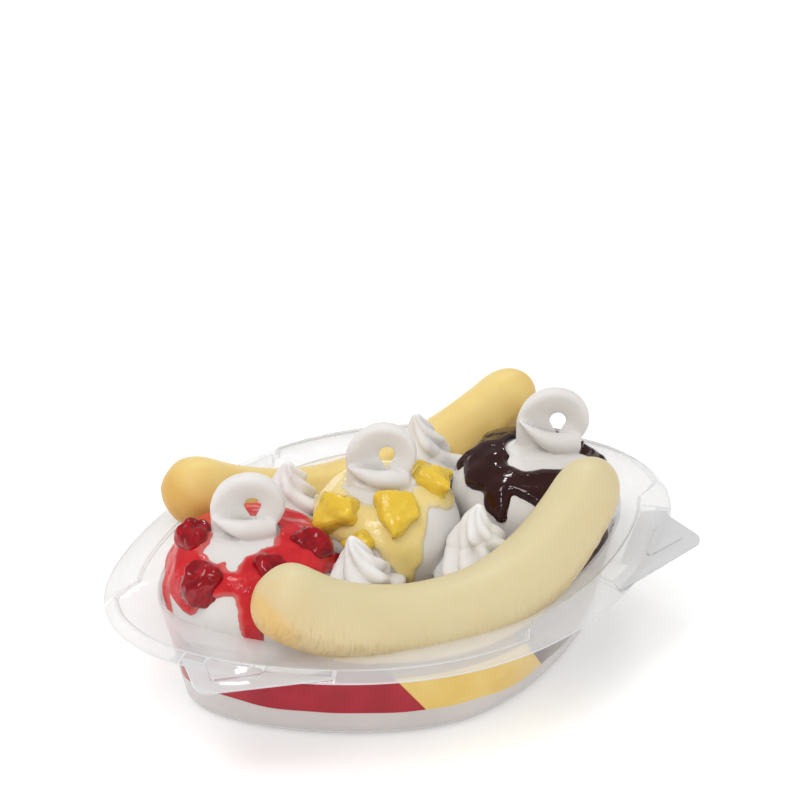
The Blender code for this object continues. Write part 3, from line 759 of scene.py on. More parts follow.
@dataclass
class Dish:
    """Thin clear shell: base, flaring wall, flange, stepped ridge, skirt and two finger tabs."""

    ridge: Boat = Boat(0.1040, 0.0773, 0.0235, 0.0034, 18.0)
    opening: Boat = Boat(0.0885, 0.0624, 0.0190, 0.0034, 13.0)
    base: Boat = Boat(0.0728, 0.0552, 0.0232, 0.0100, 12.5)
    wall: float = 0.0009
    rim_height: float = 0.0467
    flange_drop: float = 0.0009
    ridge_width: float = 0.0016
    skirt_out: float = 0.0034
    skirt_down: float = 0.0037
    jog: float = 0.0078
    base_round: float = 0.006
    sides: int = 720
    tab_tip: tuple[float, float] = (0.1002, -0.0510)
    tab_end_root: tuple[float, float] = (0.0960, -0.0240)
    tab_side_root: tuple[float, float] = (0.0560, -0.0640)
    tab_bite: float = 0.0060
    tab_round: float = 0.0055
    tab_top: float = 0.0452
    field_corners: tuple[tuple[float, float], ...] = ((0.0725, -0.0525), (0.0940, -0.0470), (0.0905, -0.0345))
    field_rise: float = 0.0008
    field_round: float = 0.0014
    field_taper: float = 0.0006
    edge_round: float = 0.00022
    flange_haze: float = 0.34
    wall_haze: float = 0.10
    haze_from: float = 0.029
    haze_span: float = 0.012
    jog_ramps: tuple[tuple[float, float, float], ...] = (
        (98.5, 101.0, 0.5), (103.0, 105.5, 0.5), (169.5, 174.0, -1.0))

    @property
    def flange(self) -> float:
        """Height of the flat flange."""
        return self.rim_height - self.flange_drop

    def wall_shape(self, height: float) -> Boat:
        """Outer outline of the wall at a height above the base's rounding."""
        return self.base.toward(self.opening, max(height, 0.0) / self.flange).grown(self.wall)

    def cup(self, inset: float, floor: float, top: float, steps: int = 8,
            rows: int = 6) -> list[tuple[Boat, float]]:
        """Outlines of a cup face from its floor edge up.

        Args:
            inset: How far inside the wall's outer face it lies.
            floor: Height of its floor.
            top: Height of its upper edge.
            steps: Rows of the rounding at the floor.
            rows: Rows of the wall above it.

        Returns:
            Pairs of outline and height.
        """
        made = []
        for k in range(steps + 1):
            turn = pi / 2 * k / steps
            height = floor + self.base_round * (1 - cos(turn))
            tuck = self.base_round * 0.6 * (1 - sin(turn))
            made.append((self.wall_shape(height).grown(-inset - tuck), height))
        start = floor + self.base_round
        for k in range(1, rows + 1):
            height = start + (top - start) * k / rows
            made.append((self.wall_shape(height).grown(-inset), height))
        return made

    def ring(self, boat: Boat, height: float, stepped: bool = False) -> list[Vector]:
        """Points of an outline.

        Args:
            boat: The outline.
            height: Its height.
            stepped: Whether it runs inward on two quarters, as the ridge does.

        Returns:
            One point for each side of the dish.
        """
        points = []
        for k in range(self.sides):
            angle = 2 * pi * k / self.sides
            shape = boat.grown(-self.jog * self.jog_share(angle)) if stepped else boat
            reach = shape.reach(angle)
            points.append(Vector((reach * cos(angle), reach * sin(angle), height)))
        return points

    def jog_share(self, angle: float) -> float:
        """How far in the ridge runs, from 0 outside to 1 inside, as the ramps (bearings, rise) say.

        Args:
            angle: Direction in radians.

        Returns:
            The share.
        """
        turn = degrees(angle) % 180.0
        return sum(rise * min(max((turn - first) / (last - first), 0.0), 1.0)
                   for first, last, rise in self.jog_ramps)

    def shell(self) -> bmesh.types.BMesh:
        """The whole shell without its tabs.

        Returns:
            A closed bmesh with softened edges.
        """
        foot = self.rim_height - self.skirt_down
        flange = self.flange
        rings = [self.ring(b, h) for b, h in self.cup(0.0, 0.0, flange - self.wall)]
        rings.append(self.ring(self.ridge.grown(-self.ridge_width - self.wall), flange - self.wall, True))
        rings.append(self.ring(self.ridge.grown(self.skirt_out - self.wall), foot))
        rings.append(self.ring(self.ridge.grown(self.skirt_out), foot))
        rings.append(self.ring(self.ridge.grown(self.skirt_out), foot + self.wall * 0.6))
        rings.append(self.ring(self.ridge, self.rim_height, True))
        rings.append(self.ring(self.ridge.grown(-self.ridge_width * 0.5), self.rim_height, True))
        rings.append(self.ring(self.ridge.grown(-self.ridge_width), flange, True))
        rings += [self.ring(b, h) for b, h in reversed(self.cup(self.wall, self.wall, flange))]
        bm = skin(rings)
        sharp = [e for e in bm.edges if e.is_manifold and e.calc_face_angle() > radians(25)]
        bmesh.ops.bevel(bm, geom=sharp, offset=self.edge_round, segments=2, profile=0.5,
                        affect="EDGES", material=-1)
        return bm

    def rounded_corner(self, before: Sequence[float], corner: Sequence[float], after: Sequence[float],
                       radius: float, steps: int) -> list[Vector]:
        """Arc that rounds one corner of a flat outline.

        Args:
            before: The point before the corner.
            corner: The corner.
            after: The point after it.
            radius: Radius of the arc.
            steps: Steps along the arc.

        Returns:
            Points of the arc.
        """
        here = Vector(corner)
        back = (Vector(before) - here).normalized()
        ahead = (Vector(after) - here).normalized()
        half = back.angle(ahead) / 2
        centre = here + (back + ahead).normalized() * radius / sin(half)
        first = here + back * radius * cos(half) / sin(half) - centre
        last = here + ahead * radius * cos(half) / sin(half) - centre
        sweep = first.angle_signed(last)
        return [centre + Matrix.Rotation(-sweep * k / steps, 2) @ first for k in range(steps + 1)]

    def plate(self, outline: Sequence[Vector], side: int, low: float, high: float,
              taper: float) -> bmesh.types.BMesh:
        """Flat plate on one side of the dish, its top pulled in.

        Args:
            outline: Its corners at +X.
            side: 1 at +X, -1 at -X.
            low: Height of its lower face.
            high: Height of its top.
            taper: How far the top is pulled in.

        Returns:
            A closed bmesh with softened edges.
        """
        centre = sum((Vector(p) for p in outline), Vector((0.0, 0.0))) / len(outline)
        upper = [Vector(p) + (centre - Vector(p)).normalized() * taper for p in outline]
        bm = skin([[Vector((p[0] * side, p[1], low)) for p in outline],
                   [Vector((p[0] * side, p[1], high)) for p in upper]])
        top = [e for e in bm.edges if all(v.co.z > (low + high) / 2 for v in e.verts)]
        bmesh.ops.bevel(bm, geom=top, offset=self.edge_round, segments=2, profile=0.5,
                        affect="EDGES", material=-1)
        return bm

    def tab(self, side: int) -> list[bmesh.types.BMesh]:
        """One finger tab with its raised field.

        Args:
            side: 1 at +X, -1 at -X.

        Returns:
            The two plates.
        """
        end_root = Vector(self.tab_end_root)
        side_root = Vector(self.tab_side_root)
        outline = [side_root + Vector((0.0, self.tab_bite)), side_root]
        outline += self.rounded_corner(side_root, self.tab_tip, end_root, self.tab_round, 12)
        outline += [end_root, end_root - Vector((self.tab_bite, 0.0))]
        corners = self.field_corners
        patch = []
        for k, corner in enumerate(corners):
            patch += self.rounded_corner(corners[k - 1], corner, corners[(k + 1) % 3], self.field_round, 6)
        return [self.plate(outline, side, self.tab_top - self.wall, self.tab_top, 0.0),
                self.plate(patch, side, self.tab_top - self.wall / 2, self.tab_top + self.field_rise,
                           self.field_taper)]

    def haze(self, vertex: bmesh.types.BMVert) -> float:
        """How milky the sheet is at a point: the flange more than the wall, the base not at all.

        Args:
            vertex: The point.

        Returns:
            Strength of the veil.
        """
        spot = vertex.co
        reach = Vector((spot.x, spot.y)).length
        inner = self.opening.reach(atan2(spot.y, spot.x))
        if spot.z > self.rim_height - self.skirt_down - 0.0002 and reach > inner - 0.0006:
            return self.flange_haze
        return self.wall_haze * min(max((spot.z - self.haze_from) / self.haze_span, 0.0), 1.0)

    def build(self) -> None:
        """Make the clear dish."""
        bm = united(self.shell(), self.tab(-1) + self.tab(1))
        mark(bm, "haze", self.haze)
        # Faces of the softened edges are marked "rim": there the plastic gets painted edge lines in place of the
        # lines that light makes along them.
        rim = bm.faces.layers.float.new("rim")
        for face in bm.faces:
            if min(edge.calc_length() for edge in face.edges) < self.edge_round * 1.4:
                face[rim] = 1.0
        finished(bm, "dish_shell", CLEAR_PLASTIC.build(), Slot.PLASTIC, ["dish"], crease=40.0)


# ------------------------------------------------------------------ fillings


@dataclass
class Fillings:
    """Plain ice cream at the bottom and three coloured layers, each reaching into the clear wall."""

    dish: Dish
    cream_top: float = 0.0110
    cream_tilt: float = 0.030
    sauce_top: float = 0.0290
    strawberry_end: tuple[float, float, float] = (-0.0160, -0.0550, 0.0110)
    chocolate_start: tuple[float, float, float] = (0.0315, -0.0540, 0.0145)
    border_lean: tuple[float, float, float] = (1.0, 0.12, 0.70)
    border_overlap: float = 0.0012
    ripple: float = 0.0022
    ripple_pitch: float = 45.0
    sides: int = 300
    rows: int = 24

    def cream_surface(self, x: float) -> float:
        """Top of the plain ice cream, higher at the strawberry end."""
        return self.cream_top - self.cream_tilt * x

    def edge(self, angle: float, height: float, inset: float) -> float:
        """Reach of a filling toward the wall.

        Args:
            angle: Direction in radians.
            height: Height of the point.
            inset: Distance inside the wall's outer face.

        Returns:
            Distance from the centre.
        """
        rounding = self.dish.base_round
        lift = min(max((height - inset) / rounding, 0.0), 1.0)
        tuck = rounding * 0.6 * (1 - sqrt(max(1 - (1 - lift) ** 2, 0.0)))
        return self.dish.wall_shape(height).grown(-inset - tuck).reach(angle)

    def body(self, low: Callable[[float, float], float], high: Callable[[float, float], float],
             inset: float) -> bmesh.types.BMesh:
        """Solid between two surfaces that reaches into the wall all round.

        Args:
            low: Height of the lower surface at x, y.
            high: Height of the upper surface at x, y.
            inset: Distance inside the wall's outer face.

        Returns:
            A closed bmesh.
        """
        def rim(surface: Callable[[float, float], float], angle: float) -> float:
            """Height at which a surface meets the wall.

            Args:
                surface: Height of the surface at x, y.
                angle: Direction in radians.

            Returns:
                The height.
            """
            height = surface(0.0, 0.0)
            for _ in range(4):
                reach = self.edge(angle, height, inset)
                height = surface(reach * cos(angle), reach * sin(angle))
            return height

        angles = [2 * pi * k / self.sides for k in range(self.sides)]
        ends = [(rim(low, a), rim(high, a)) for a in angles]
        rings = []
        for k in range(self.rows + 1):
            ring = []
            for a, (first, last) in zip(angles, ends):
                height = first + (last - first) * k / self.rows
                reach = self.edge(a, height, inset)
                ring.append(Vector((reach * cos(a), reach * sin(a), height)))
            rings.append(ring)
        return skin(rings)

    def cut(self, bm: bmesh.types.BMesh, border: Sequence[float], keep_low: bool, shift: float) -> None:
        """Cut a filling by the leaning plane of a border and close it.

        Args:
            bm: The filling.
            border: A point on the border.
            keep_low: Whether the strawberry side is kept.
            shift: How far past the border the cut lies.
        """
        normal = Vector(self.border_lean).normalized()
        geometry = bm.verts[:] + bm.edges[:] + bm.faces[:]
        found = bmesh.ops.bisect_plane(bm, geom=geometry, plane_co=Vector(border) + normal * shift,
                                       plane_no=normal, clear_outer=keep_low, clear_inner=not keep_low)
        edges = [e for e in found["geom_cut"] if isinstance(e, bmesh.types.BMEdge)]
        bmesh.ops.edgeloop_fill(bm, edges=edges)

    def build(self) -> None:
        """Make the four fillings."""
        wall = self.dish.wall
        base = self.body(lambda x, y: wall * 0.5, lambda x, y: self.cream_surface(x) + 0.001, wall * 0.60)
        # The plain ice cream takes the darker copy of the ice cream: painted shade.
        finished(base, "bottom_cream", SHADED_BOTTOM_ICE.build(), Slot.ICE, ["ice_cream_base"])

        def lower(x: float, y: float) -> float:
            """Wavy border with the plain ice cream."""
            wave = noise.noise(Vector((x * self.ripple_pitch, y * self.ripple_pitch, 3.0))) * self.ripple
            return self.cream_surface(x) + wave

        def upper(x: float, y: float) -> float:
            """Level top of the coloured layers."""
            return self.sauce_top

        kinds = (("strawberry_sea", STRAWBERRY_CREAM, Slot.STRAWBERRY_SAUCE, "strawberry_layer", 0.36,
                  None, self.strawberry_end),
                 ("pineapple_sea", PINEAPPLE_CREAM, Slot.PINEAPPLE_SAUCE, "pineapple_layer", 0.44,
                  self.strawberry_end, self.chocolate_start),
                 ("chocolate_sea", CHOCOLATE_CREAM, Slot.CHOCOLATE_SAUCE, "chocolate_layer", 0.52,
                  self.chocolate_start, None))
        for name, finish, slot, node, inset, first, last in kinds:
            bm = self.body(lower, upper, wall * inset)
            if first:
                self.cut(bm, first, keep_low=False, shift=-self.border_overlap)
            if last:
                self.cut(bm, last, keep_low=True, shift=0.0)
            finished(bm, name, finish.build(), slot, [node])


# ------------------------------------------------------------------ scoops


@dataclass(frozen=True)
class Stroke:
    """Stretch of sauce on a scoop between two places (bearing, climb in degrees), millimetres wide."""

    start: tuple[float, float]
    end: tuple[float, float]
    half_start: float
    half_end: float


@dataclass
class Scoop:
    """Scoop of soft ice cream with its neck and its curl."""

    name: str
    centre: tuple[float, float]
    radius: float
    middle: float
    rise: float
    curl: tuple[float, float, float]
    size: float
    tail_drops: tuple[float, float, float]
    foot: float = 0.0298
    facing: float = radians(-28.0)
    neck_wide: float = 0.0126
    neck_deep: float = 0.0076
    flare: float = 0.0035
    seat: float = 0.0112
    offset: tuple[float, float] = (0.0023, -0.0020)
    rope: tuple[float, float] = (0.0060, 0.0034)
    hole: float = 0.0030
    point: float = 0.0061

    def dome(self) -> bmesh.types.BMesh:
        """Turned scoop whose neck leans over to where its curl stands.

        Returns:
            A closed bmesh.
        """
        profile = []
        sink = self.middle - self.foot
        for k in range(12):
            height = self.foot + sink * k / 12
            away = (self.middle - height) / (sink * 2.4)
            profile.append((self.radius * sqrt(1 - away * away), height))
        for k in range(40):
            climb = radians(2.2 * k)
            profile.append((self.radius * cos(climb), self.middle + self.rise * sin(climb)))
        neck = self.neck_wide * self.size
        flare = neck + self.flare
        top = self.curl[2] - self.seat * self.size
        waist = self.middle + self.rise * sqrt(1 - (flare / self.radius) ** 2)
        profile = [p for p in profile if p[0] > flare]
        for k in range(10):
            share = k / 9
            profile.append((neck + self.flare * (1 - share) ** 2.6, waist + (top - waist) * 0.8 * share))
        profile.append((neck * 0.92, top - 0.0006))
        profile.append((neck * 0.75, top))
        sides = 120
        rings = []
        shift = Vector(self.curl[:2]) - Vector(self.centre)
        toward = Vector((sin(self.facing), -cos(self.facing)))
        flat = self.neck_deep / self.neck_wide
        lean_from = self.middle + self.rise * 0.7
        for radius, height in profile:
            share = min(max((height - lean_from) / (self.curl[2] - 0.008 - lean_from), 0.0), 1.0)
            narrow = (1 - flat) * min(share * 2.2, 1.0)
            ring = []
            for k in range(sides):
                out = Vector((cos(2 * pi * k / sides), sin(2 * pi * k / sides))) * radius
                out -= toward * out.dot(toward) * narrow
                ring.append(Vector((self.centre[0] + shift.x * share + out.x,
                                    self.centre[1] + shift.y * share + out.y, height)))
            rings.append(ring)
        return skin(rings)

    def frame_axes(self) -> tuple[Vector, Vector, Vector]:
        """Where the curl stands and how it faces.

        Returns:
            The middle of its hole, the direction across it and the direction toward its front.
        """
        across = Vector((cos(self.facing), sin(self.facing), 0.0))
        toward = Vector((sin(self.facing), -cos(self.facing), 0.0))
        return Vector(self.curl) + across * self.offset[0] * self.size + UP * self.offset[1], across, toward

    def hood(self) -> bmesh.types.BMesh:
        """Broad strip that rises from the neck and bends over, its face dished toward the hole.

        Returns:
            A closed bmesh.
        """
        centre, across, toward = self.frame_axes()
        size = self.size
        reach = self.hole + 2 * self.rope[0]
        rows = [(drop, None) for drop in (0.0150, 0.0115, 0.0085, 0.0062, 0.0042, 0.0021)]
        rows += [(0.0, k / 52) for k in range(53)]
        sides = 32
        rings = []
        for drop, share in rows:
            if share is None:
                inner = min(-self.hole * (1 - drop / self.point), 0.0035)
                rope = (reach + inner) / 2 * size
                out = -across
                middle = centre - across * (reach - inner) / 2 * size - UP * drop * size
            else:
                turn = radians(180.0 - 262.0 * share)
                rope = (self.rope[0] + (self.rope[1] - self.rope[0]) * share ** 0.75) * size
                side = self.hole * (1 + 0.30 * max(sin(turn), 0.0) ** 2)
                if sin(turn) < 0:
                    side = 1 / (max(cos(turn), 0.0) / self.hole - sin(turn) / self.point)
                out = cos(turn) * across + sin(turn) * UP
                middle = centre + out * (side * size + rope)
            ring = []
            for n in range(sides):
                angle = 2 * pi * n / sides
                edge = abs(cos(angle)) ** 0.75 * (1 if cos(angle) > 0 else -1)
                face = abs(sin(angle)) ** 0.55 * (1 if sin(angle) > 0 else -1)
                depth = 0.0036 * (0.62 + 0.38 * edge) if face > 0 else 0.0032 * (0.8 + 0.2 * edge)
                ring.append(middle + out * rope * edge + toward * face * depth * size)
            rings.append(ring)
        return skin(rings)

    def tail(self) -> bmesh.types.BMesh:
        """End of the strip, laid across the front from the right to a soft point at the left.

        Returns:
            A closed bmesh.
        """
        centre, across, toward = self.frame_axes()
        size = self.size
        first, middle_drop, last = self.tail_drops
        steps = 40
        rings = []
        for k in range(steps + 1):
            share = k / steps
            u = 0.0082 - 0.0228 * share
            v = (first * (1 - share) * (1 - 2 * share) + middle_drop * 4 * share * (1 - share)
                 + last * share * (2 * share - 1))
            w = 0.0057 * sin(pi * (0.08 + 0.74 * share))
            thick = 0.0038 * (1 - 0.86 * share ** 4) * size * (0.2 if share == 1.0 else 1.0)
            spot = centre + (across * u + UP * v + toward * w) * size
            rings.append([spot + UP * thick * cos(2 * pi * n / 24) + toward * thick * 0.92 * sin(2 * pi * n / 24)
                          for n in range(24)])
        return skin(rings)

    def build(self, material: bpy.types.Material, voxel: float) -> bpy.types.Object:
        """Make the scoop, its neck and its curl as one soft body.

        Args:
            material: Its finish.
            voxel: Size of its faces.

        Returns:
            The piece.
        """
        bm = melted([self.dome(), self.hood(), self.tail()], voxel, 3)
        roughen(bm, 0.012, 0.0005, self.centre[0] * 50.0)
        return finished(bm, f"{self.name}_body", material, Slot.ICE, [self.name], crease=80.0)


@dataclass
class Sauce:
    """Thick sauce over a scoop: strokes that flow together, with a rounded edge."""

    name: str
    scoop: Scoop
    slot: Slot
    finish: Finish
    strokes: tuple[Stroke, ...]
    thickness: float
    ragged: float
    lip: float
    low: float = -32.0
    high: float = 70.0
    sink: float = 0.0004
    blend: float = 0.0022
    margin: float = 0.0045
    margin_below: float = 0.004
    steepest: float = 0.60
    steep_fade: float = 0.012
    edge_waves: tuple[float, float] = (240.0, 620.0)

    def place(self, ground: BVHTree, bearing: float, climb: float) -> Vector:
        """Place on the scoop, seen from its middle.

        Args:
            ground: Surface of the scoop.
            bearing: Direction in degrees.
            climb: Degrees above the level.

        Returns:
            The place, which is never on the curl.
        """
        flat = cos(radians(climb))
        ray = Vector((flat * cos(radians(bearing)), flat * sin(radians(bearing)), sin(radians(climb))))
        core = Vector((*self.scoop.centre, self.scoop.middle))
        spot = ground.ray_cast(core + ray * 0.06, -ray)[0]
        if spot is None or (spot - core).length > self.reach(ray):
            return core + ray * (self.reach(ray) - self.margin)
        return spot

    def segments(self, ground: BVHTree) -> list[tuple[Vector, Vector, float, float]]:
        """Cut the strokes into short straight stretches over the scoop.

        Args:
            ground: Surface of the scoop.

        Returns:
            Start, end and the half width at both, in metres.
        """
        made = []
        for stroke in self.strokes:
            span = max(abs(stroke.end[0] - stroke.start[0]), abs(stroke.end[1] - stroke.start[1]))
            steps = max(1, round(span / 12.0))
            for k in range(steps):
                first, last = k / steps, (k + 1) / steps
                points = [self.place(ground, stroke.start[0] + (stroke.end[0] - stroke.start[0]) * share,
                                     stroke.start[1] + (stroke.end[1] - stroke.start[1]) * share)
                          for share in (first, last)]
                halves = [(stroke.half_start + (stroke.half_end - stroke.half_start) * share) * MM
                          for share in (first, last)]
                made.append((points[0], points[1], halves[0], halves[1]))
        return made

    def reach(self, way: Vector) -> float:
        """Farthest that the scoop itself lies from its middle; its curl lies beyond.

        Args:
            way: The direction.

        Returns:
            The distance.
        """
        flat, lift = Vector((way.x, way.y)).length / way.length, way.z / way.length
        if lift < 0:
            return self.scoop.radius + self.margin_below
        return 1 / sqrt((flat / self.scoop.radius) ** 2 + (lift / self.scoop.rise) ** 2) + self.margin

    def cover(self, point: Vector, segments: Sequence[tuple[Vector, Vector, float, float]]) -> float:
        """How far inside the sauce a point lies.

        Args:
            point: A point of the scoop.
            segments: The stretches of sauce.

        Returns:
            The depth in metres, negative outside.
        """
        best = -1.0
        for start, end, first, last in segments:
            way = end - start
            share = 0.0
            if way.length_squared > 1e-12:
                share = min(max((point - start).dot(way) / way.length_squared, 0.0), 1.0)
            value = first + (last - first) * share - (point - start - way * share).length
            if best <= -1.0:
                best = value
                continue
            mix = max(self.blend - abs(best - value), 0.0) / self.blend
            best = max(best, value) + mix * mix * self.blend / 4
        coarse, fine = self.edge_waves
        edge = noise.noise(point * coarse) + 0.35 * noise.noise(point * fine)
        return best + edge * self.ragged

    def build(self, body: bpy.types.Object) -> bpy.types.Object:
        """Lay the sauce on the finished scoop.

        Args:
            body: The scoop's piece.

        Returns:
            The piece.
        """
        ground = BVHTree.FromObject(body, bpy.context.evaluated_depsgraph_get())
        segments = self.segments(ground)
        core = Vector((*self.scoop.centre, self.scoop.middle))
        bm = bmesh.new()
        bmesh.ops.create_uvsphere(bm, u_segments=300, v_segments=170, radius=1.0)
        depth = bm.verts.layers.float.new("depth")
        gone = []
        for vertex in bm.verts:
            ray = vertex.co.normalized()
            climb = degrees(acos(max(-1.0, min(1.0, -ray.z)))) - 90.0
            if not self.low < climb < self.high:
                gone.append(vertex)
                continue
            squashed = Vector((ray.x, ray.y, ray.z * self.scoop.rise / self.scoop.radius)).normalized()
            spot, normal, _, _ = ground.ray_cast(core + squashed * self.scoop.radius * 2.0, -squashed)
            if spot is None or (spot - core).length > self.reach(spot - core):
                gone.append(vertex)
                continue
            slope = normal.dot((spot - core).normalized())
            cover = min(self.cover(spot, segments), (slope - self.steepest) * self.steep_fade)
            if cover < -self.sink * 2:
                gone.append(vertex)
                continue
            share = min(max(cover / self.lip, 0.0), 1.0)
            dome = sqrt(1 - (1 - share) ** 2)
            wave = 1.0 + 0.35 * noise.noise(spot * 160.0)
            rise = (self.thickness * wave + self.sink) * dome - self.sink
            if cover < 0:
                rise = -self.sink
            vertex[depth] = share
            vertex.co = spot + (spot - core).normalized() * 0.4 * rise + normal * 0.6 * rise
        bmesh.ops.delete(bm, geom=gone, context="VERTS")
        bmesh.ops.delete(bm, geom=[v for v in bm.verts if not v.link_faces], context="VERTS")
        for _ in range(2):
            bmesh.ops.smooth_vert(bm, verts=[v for v in bm.verts if not v.is_boundary], factor=0.5,
                                  use_axis_x=True, use_axis_y=True, use_axis_z=True)
        bmesh.ops.recalc_face_normals(bm, faces=bm.faces)
        lower = bmesh.ops.extrude_face_region(bm, geom=bm.faces[:], use_keep_orig=True)["geom"]
        for vertex in lower:
            if isinstance(vertex, bmesh.types.BMVert):
                vertex.co += (core - vertex.co).normalized() * self.sink
        outward(bm)
        return finished(bm, self.name, self.finish.build(), self.slot, crease=80.0)


STRAWBERRY_STROKES = (
    Stroke((176, 33), (196, 30), 6.5, 7.0),
    Stroke((184, 20), (198, 14), 7.0, 5.5),
    Stroke((200, 30), (214, 31.5), 6.5, 5.8),
    Stroke((214, 31.5), (227, 33.5), 5.6, 4.0),
    Stroke((212, 36), (215, 46), 2.0, 0.9),
    Stroke((227, 33.5), (238, 32), 4.0, 5.0),
    Stroke((243, 34), (243.5, 12), 4.6, 3.3),
    Stroke((243.5, 12), (246.5, -7.0), 3.4, 3.3),
    Stroke((247, 48), (262, 50), 4.0, 4.8),
    Stroke((250, 40), (275, 44), 6.0, 7.5),
    Stroke((275, 47), (295, 43), 7.0, 6.0),
    Stroke((295, 42), (312, 40), 6.5, 8.5),
    Stroke((312, 46), (335, 48), 9.0, 9.5),
    Stroke((312, 34), (332, 24), 7.0, 4.5),
    Stroke((325, 56), (350, 60), 4.5, 4.5),
    Stroke((158, 36), (166, 18), 5.0, 3.0),
    Stroke((166, 18), (173, 0), 3.0, 2.1),
    Stroke((173, 0), (184, -17), 2.1, 1.9),
    Stroke((335, 46), (440, 44), 9.5, 8.0),
    Stroke((440, 44), (520, 44), 8.0, 7.0),
    Stroke((20, 32), (24, -2), 5.0, 3.0),
    Stroke((62, 32), (60, -10), 4.5, 2.8),
    Stroke((104, 30), (107, 4), 5.0, 3.4),
    Stroke((140, 32), (137, -6), 4.0, 2.6),
)
PINEAPPLE_STROKES = (
    Stroke((158, 28), (180, 25), 8.0, 7.5),
    Stroke((175, 18), (187, 0), 6.0, 3.0),
    Stroke((182, 33), (206, 31.5), 8.0, 7.8),
    Stroke((206, 31.5), (222, 33), 7.8, 6.6),
    Stroke((222, 32.5), (236, 31), 6.6, 7.4),
    Stroke((238, 38), (258, 36), 8.0, 9.5),
    Stroke((250, 22), (257, 4), 7.4, 5.0),
    Stroke((257, 4), (260, -13), 5.0, 2.2),
    Stroke((262, 36), (272, 38), 8.0, 4.6),
    Stroke((263, 20), (264, 6), 5.2, 3.4),
    Stroke((272, 46), (302, 49), 5.0, 3.6),
    Stroke((302, 49), (326, 42), 4.0, 6.0),
    Stroke((322, 38), (345, 34), 5.5, 6.0),
    Stroke((345, 36), (440, 34), 7.0, 7.5),
    Stroke((440, 34), (520, 30), 7.5, 8.0),
    Stroke((20, 28), (22, 0), 6.0, 3.5),
    Stroke((75, 28), (72, -10), 6.0, 3.5),
    Stroke((125, 28), (128, -2), 6.0, 4.0),
)
CHOCOLATE_STROKES = (
    Stroke((150, 42), (172, 38), 6.0, 7.6),
    Stroke((162, 30), (178, 25), 4.8, 4.4),
    Stroke((178, 27), (196, 31), 4.6, 5.0),
    Stroke((170, 37), (200, 35), 5.4, 5.2),
    Stroke((206, 34), (210, 18), 5.8, 5.0),
    Stroke((210, 18), (217, 8), 4.4, 2.5),
    Stroke((200, 38), (232, 35.5), 5.2, 4.8),
    Stroke((232, 35.5), (250, 36), 4.8, 6.4),
    Stroke((236, 29), (246, 21), 3.2, 2.2),
    Stroke((250, 36), (290, 33), 6.4, 4.6),
    Stroke((290, 32), (320, 28), 4.4, 3.0),
    Stroke((338, 48), (345, 30), 3.4, 3.0),
    Stroke((345, 30), (350, 6), 2.9, 1.9),
    Stroke((344, 46), (430, 42), 4.0, 6.0),
    Stroke((430, 42), (512, 46), 6.0, 6.8),
    Stroke((140, 36), (146, 18), 4.5, 2.6),
    Stroke((25, 34), (28, 6), 4.0, 2.5),
    Stroke((62, 34), (66, -2), 4.0, 2.6),
    Stroke((98, 34), (100, 10), 4.0, 2.6),
)

# ------------------------------------------------------------------ bananas


@dataclass
class Banana:
    """Peeled banana, bowed by the way its middle is shifted."""

    name: str
    start: tuple[float, float, float]
    end: tuple[float, float, float]
    bow: tuple[float, float, float]
    radius: float
    end_share: float
    finish: BananaFinish
    belly: tuple[float, float, float] = (0.0, 0.0, 0.0)
    plump: float = 0.0
    facets: float = 0.022
    side_shade: float = 0.30
    slope_shade: float = 0.32
    tip_shade: float = 0.42

    def point(self, turn: float, share: float) -> Vector:
        """Place on the fruit.

        Args:
            turn: Round the fruit, radians.
            share: Along it, as the ball's share from pole to pole.

        Returns:
            The point.
        """
        start, end, bow = Vector(self.start), Vector(self.end), Vector(self.bow)
        span = (end - start).length
        ease = (1 - cos(pi * share)) / 2
        middle = start.lerp(end, ease) + bow * 4 * ease * (1 - ease)
        along = (end - start + bow * 4 * (1 - 2 * ease)).normalized()
        side = along.cross(UP).normalized()
        up = side.cross(along)
        swell = sin(pi * min(max((ease - 0.33) / 0.70, 0.0), 1.0)) ** 1.5
        middle += Vector(self.belly) * swell
        taper = 1.0 - (1.0 - self.end_share) * max(ease * 2 - 1, 0.0) ** 1.5
        cap = min(min(ease, 1 - ease) * span / self.radius, 1.0)
        blunt = sqrt(max(1 - (1 - cap) ** 2.6, 0.0))
        size = self.radius * taper * blunt * (1 + self.plump * swell)
        edge = 1 + self.facets * (cos(5 * turn) + 0.25 * cos(10 * turn))
        wave = 1 + 0.02 * noise.noise(Vector((ease * 9.0, cos(turn), sin(turn))))
        return middle + (side * cos(turn) + up * sin(turn)) * size * edge * wave

    def build(self) -> bpy.types.Object:
        """Make the banana.

        Returns:
            The piece.
        """
        bm = moulded(104, 230, self.point)
        start, end = Vector(self.start), Vector(self.end)
        way = (end - start) / (end - start).length_squared
        layer = bm.loops.layers.uv.new("along")
        bm.normal_update()

        def length_share(place: Vector) -> float:
            """Share of the way from the start to the end."""
            return (place - start).dot(way)

        for face in bm.faces:
            for loop in face.loops:
                place = loop.vert.co
                loop[layer].uv = (length_share(place), place.z * 12.0)

        def shade(vertex: bmesh.types.BMVert) -> float:
            """Painted shade: darker toward the underside, and darker toward the ends.

            Args:
                vertex: The point.

            Returns:
                The darkness.
            """
            share = length_share(vertex.co)
            tip = max(1.0 - share / 0.12, 0.0) ** 2 + 0.5 * max(1.0 - (1 - share) / 0.08, 0.0) ** 2
            return self.side_shade - self.slope_shade * vertex.normal.z + self.tip_shade * tip

        mark(bm, "shade", shade)
        mark(bm, "strokes", lambda v: max(0.0, min(1.0, 0.55 - v.normal.z)))
        return finished(bm, f"{self.name}_peeled", self.finish.build(), Slot.BANANA, [self.name], crease=80.0)


# ------------------------------------------------------------------ whipped cream


